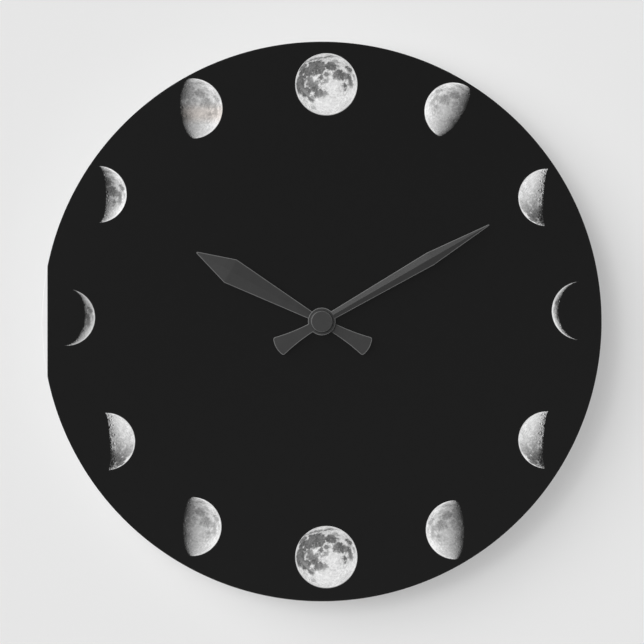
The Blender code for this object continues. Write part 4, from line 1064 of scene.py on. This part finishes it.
def make_movement():
    """All behind the disc. The sealed nodes keep their own shapes and get better materials."""
    plastic = look("case_plastic")
    knob = look("knob_plastic")
    inner = look("plate_plastic")
    nylon = look(
        "gear_nylon",
        Subsurface_Weight=0.15,
        Subsurface_Radius=(0.0004, 0.0004, 0.0003),
        Subsurface_Scale=1.0,
    )
    brass = look("turned_brass", turned=True, Metallic=1.0)
    steel = look("bright_steel", Metallic=1.0)
    lamination = look("motor_iron", finer=(1, 1, 8), Metallic=1.0)
    ferrite = look("magnet_ferrite")
    nickel = look("contact_nickel", finer=(1, 1, 6), Metallic=1.0)
    rubber = look("seal_rubber")
    epoxy = look("chip_epoxy")
    refined("case_shell", "movement_case", 0.00030, plastic)
    refined("back_cover", "rear_cover", 0.00020, plastic, cut=cover_marks())
    refined("plus_contact", "positive_contact", 0.00008, nickel)
    refined("minus_contact", "negative_contact", 0.00008, nickel)
    refined("set_knob", "setting_knob", 0.00012, knob)
    make_fastening(brass, rubber)
    make_battery()
    put_on(inner, "middle_plate")
    put_on(nylon, "minute_wheel", "third_wheel", "fifth_wheel", "centre_wheel")
    put_on(nylon, "rotor_pinion", "coil_bobbin")
    put_on(brass, "minute_shaft", "hour_wheel")
    put_on(steel, "fourth_wheel")
    put_on(lamination, "stator_plate", "coil_core")
    put_on(ferrite, "rotor_magnet")
    put_on(winding_material(), "coil_winding")
    put_on(board_material(), "circuit_board")
    put_on(nickel, "quartz_crystal")
    put_on(epoxy, "driver_chip")


def winding_material():
    """Fine lacquered copper wire, wound round the X axis, darker between its turns: painted
    shade in the grooves.
    """
    made, tree, shader = blank("copper_wire", Metallic=1.0)
    place = object_place(tree)
    x, wire = separated(tree, place)[0], 0.00016
    turn = (x * (math.tau / wire)).math("SINE")
    fine = noise(tree, place, 2500, 2)
    # The colour runs from dark in the grooves between turns to light on their tops: painted shade,
    # besides the bump
    colour = mixed(tree, turn.between(-1, 1), (0.25, 0.07, 0.03), (0.72, 0.28, 0.13))
    feed(tree, colour, shader.inputs["Base Color"])
    feed(tree, fine.between(0.3, 0.7, 0.26, 0.40), shader.inputs["Roughness"])
    raise_surface(tree, shader, turn + fine, 0.00003)
    return made


def board_material():
    """A brown paper laminate with the faint weave of its fibres."""
    made, tree, shader = blank("board_laminate")
    place = object_place(tree)
    x, _, z = separated(tree, place)
    fibre = 0.0006
    step = math.tau / fibre
    weave = (x * step).math("SINE") * (z * step).math("SINE")
    fine = noise(tree, place, 1800, 4)
    share = weave * 0.2 + fine
    colour = mixed(tree, share.between(0.2, 0.8), (0.16, 0.075, 0.028), (0.23, 0.115, 0.045))
    feed(tree, colour, shader.inputs["Base Color"])
    feed(tree, fine.between(0.3, 0.7, 0.38, 0.55), shader.inputs["Roughness"])
    raise_surface(tree, shader, share, 0.000008)
    return made


# Camera, wall and light

# Width of what the camera sees at the depth of the print, and its distance from there
VIEW_WIDTH = 0.3140
VIEW_DISTANCE = 3.0
VIEW_CENTRE = (0.0001, -0.00025)
PRINT_DEPTH = 0.023

# What the surround shows to the camera and to mirrors, and how much light it gives
WALL_TONE = 0.80
SURROUND_LIGHT = 0.20
# The wall's paint, and a light of its own that keeps its shadows as pale as in the photograph
WALL_PAINT = 0.50
WALL_GLOW = 0.294

# Direction and tilt off the viewer's side in degrees, share of the light and width in degrees
LAMPS = {
    "key": (298, 48, 0.70, 52),
    "near_key": (297, 20, 0.30, 26),
    "fill": (150, 22, 0.045, 44),
    "back_right": (100, 125, 0.17, 50),
    "back_left": (-100, 125, 0.17, 50),
    "back_top": (0, 130, 0.17, 60),
    "back_low": (180, 135, 0.09, 60),
}


def make_camera():
    camera = bpy.data.objects.new("camera", bpy.data.cameras.new("camera"))
    camera.data.sensor_width = 36.0
    camera.data.lens = camera.data.sensor_width * VIEW_DISTANCE / VIEW_WIDTH
    camera.data.clip_end = 10 * VIEW_DISTANCE
    camera.location = (VIEW_CENTRE[0], -VIEW_DISTANCE - PRINT_DEPTH, VIEW_CENTRE[1])
    camera.rotation_euler = (math.pi / 2, 0, 0)
    scene.collection.objects.link(camera)
    scene.camera = camera


def make_lamp(name, direction, tilt, share, width):
    """A far soft lamp. Its share is what a white surface that faces it gives back."""
    data = bpy.data.lights.new(name, "SUN")
    data.energy = math.pi * share
    data.angle = math.radians(width)
    lamp = bpy.data.objects.new(name, data)
    across, up = polar(math.radians(direction), math.sin(math.radians(tilt)))
    way = Vector((across, -math.cos(math.radians(tilt)), up))
    lamp.rotation_mode = "QUATERNION"
    lamp.rotation_quaternion = way.to_track_quat("Z", "Y")
    scene.collection.objects.link(lamp)


def make_surround():
    """A pale surround: seen and reflected at full strength, and weak as a light."""
    world = bpy.data.worlds.new("surround")
    world.use_nodes = True
    scene.world = world
    tree = world.node_tree
    background = tree.nodes["Background"]
    background.inputs["Color"].default_value = (1, 1, 1, 1)
    seen = any_ray(tree, "Is Camera Ray", "Is Glossy Ray", "Is Transmission Ray")
    strength = seen.between(0.0, 1.0, SURROUND_LIGHT, WALL_TONE, smooth=False)
    feed(tree, strength, background.inputs["Strength"])


def make_wall():
    """The painted wall. It shows from the front only, and the lamps behind it shine through it,
    so that the clock can be seen from behind as well."""
    reach, gap, drift = 3.0, 0.0004, 0.002
    mesh = bpy.data.meshes.new("wall")
    corners = ((-reach, -reach), (reach, -reach), (reach, reach), (-reach, reach))
    mesh.from_pydata([(x, gap, z) for x, z in corners], [], [(0, 1, 2, 3)])
    wall = bpy.data.objects.new("wall", mesh)
    scene.collection.objects.link(wall)
    paint, tree, shader = blank("wall_paint", Roughness=0.9, Specular_IOR_Level=0.0)
    cloud = noise(tree, object_place(tree), 40)
    tone = mixed(tree, cloud, even(WALL_PAINT - drift), even(WALL_PAINT + drift))
    feed(tree, tone, shader.inputs["Base Color"])
    shader.inputs["Emission Color"].default_value = (1, 1, 1, 1)
    shader.inputs["Emission Strength"].default_value = WALL_GLOW
    seen = any_ray(tree, "Is Camera Ray", "Is Glossy Ray", "Diffuse Depth")
    behind = Num(tree, tree.nodes.new("ShaderNodeNewGeometry").outputs["Backfacing"])
    shown = seen.math("SUBTRACT", behind, clamp=True)
    both = tree.nodes.new("ShaderNodeMixShader")
    clear = tree.nodes.new("ShaderNodeBsdfTransparent")
    for socket, value in zip(both.inputs, (shown, clear.outputs[0], shader.outputs[0])):
        feed(tree, value, socket)
    feed(tree, both.outputs[0], tree.nodes["Material Output"].inputs["Surface"])
    mesh.materials.append(paint)


make_camera()
make_surround()
make_wall()
for lamp_name, settings in LAMPS.items():
    make_lamp(lamp_name, *settings)
make_dial()
make_moons()
make_hands()
make_movement()
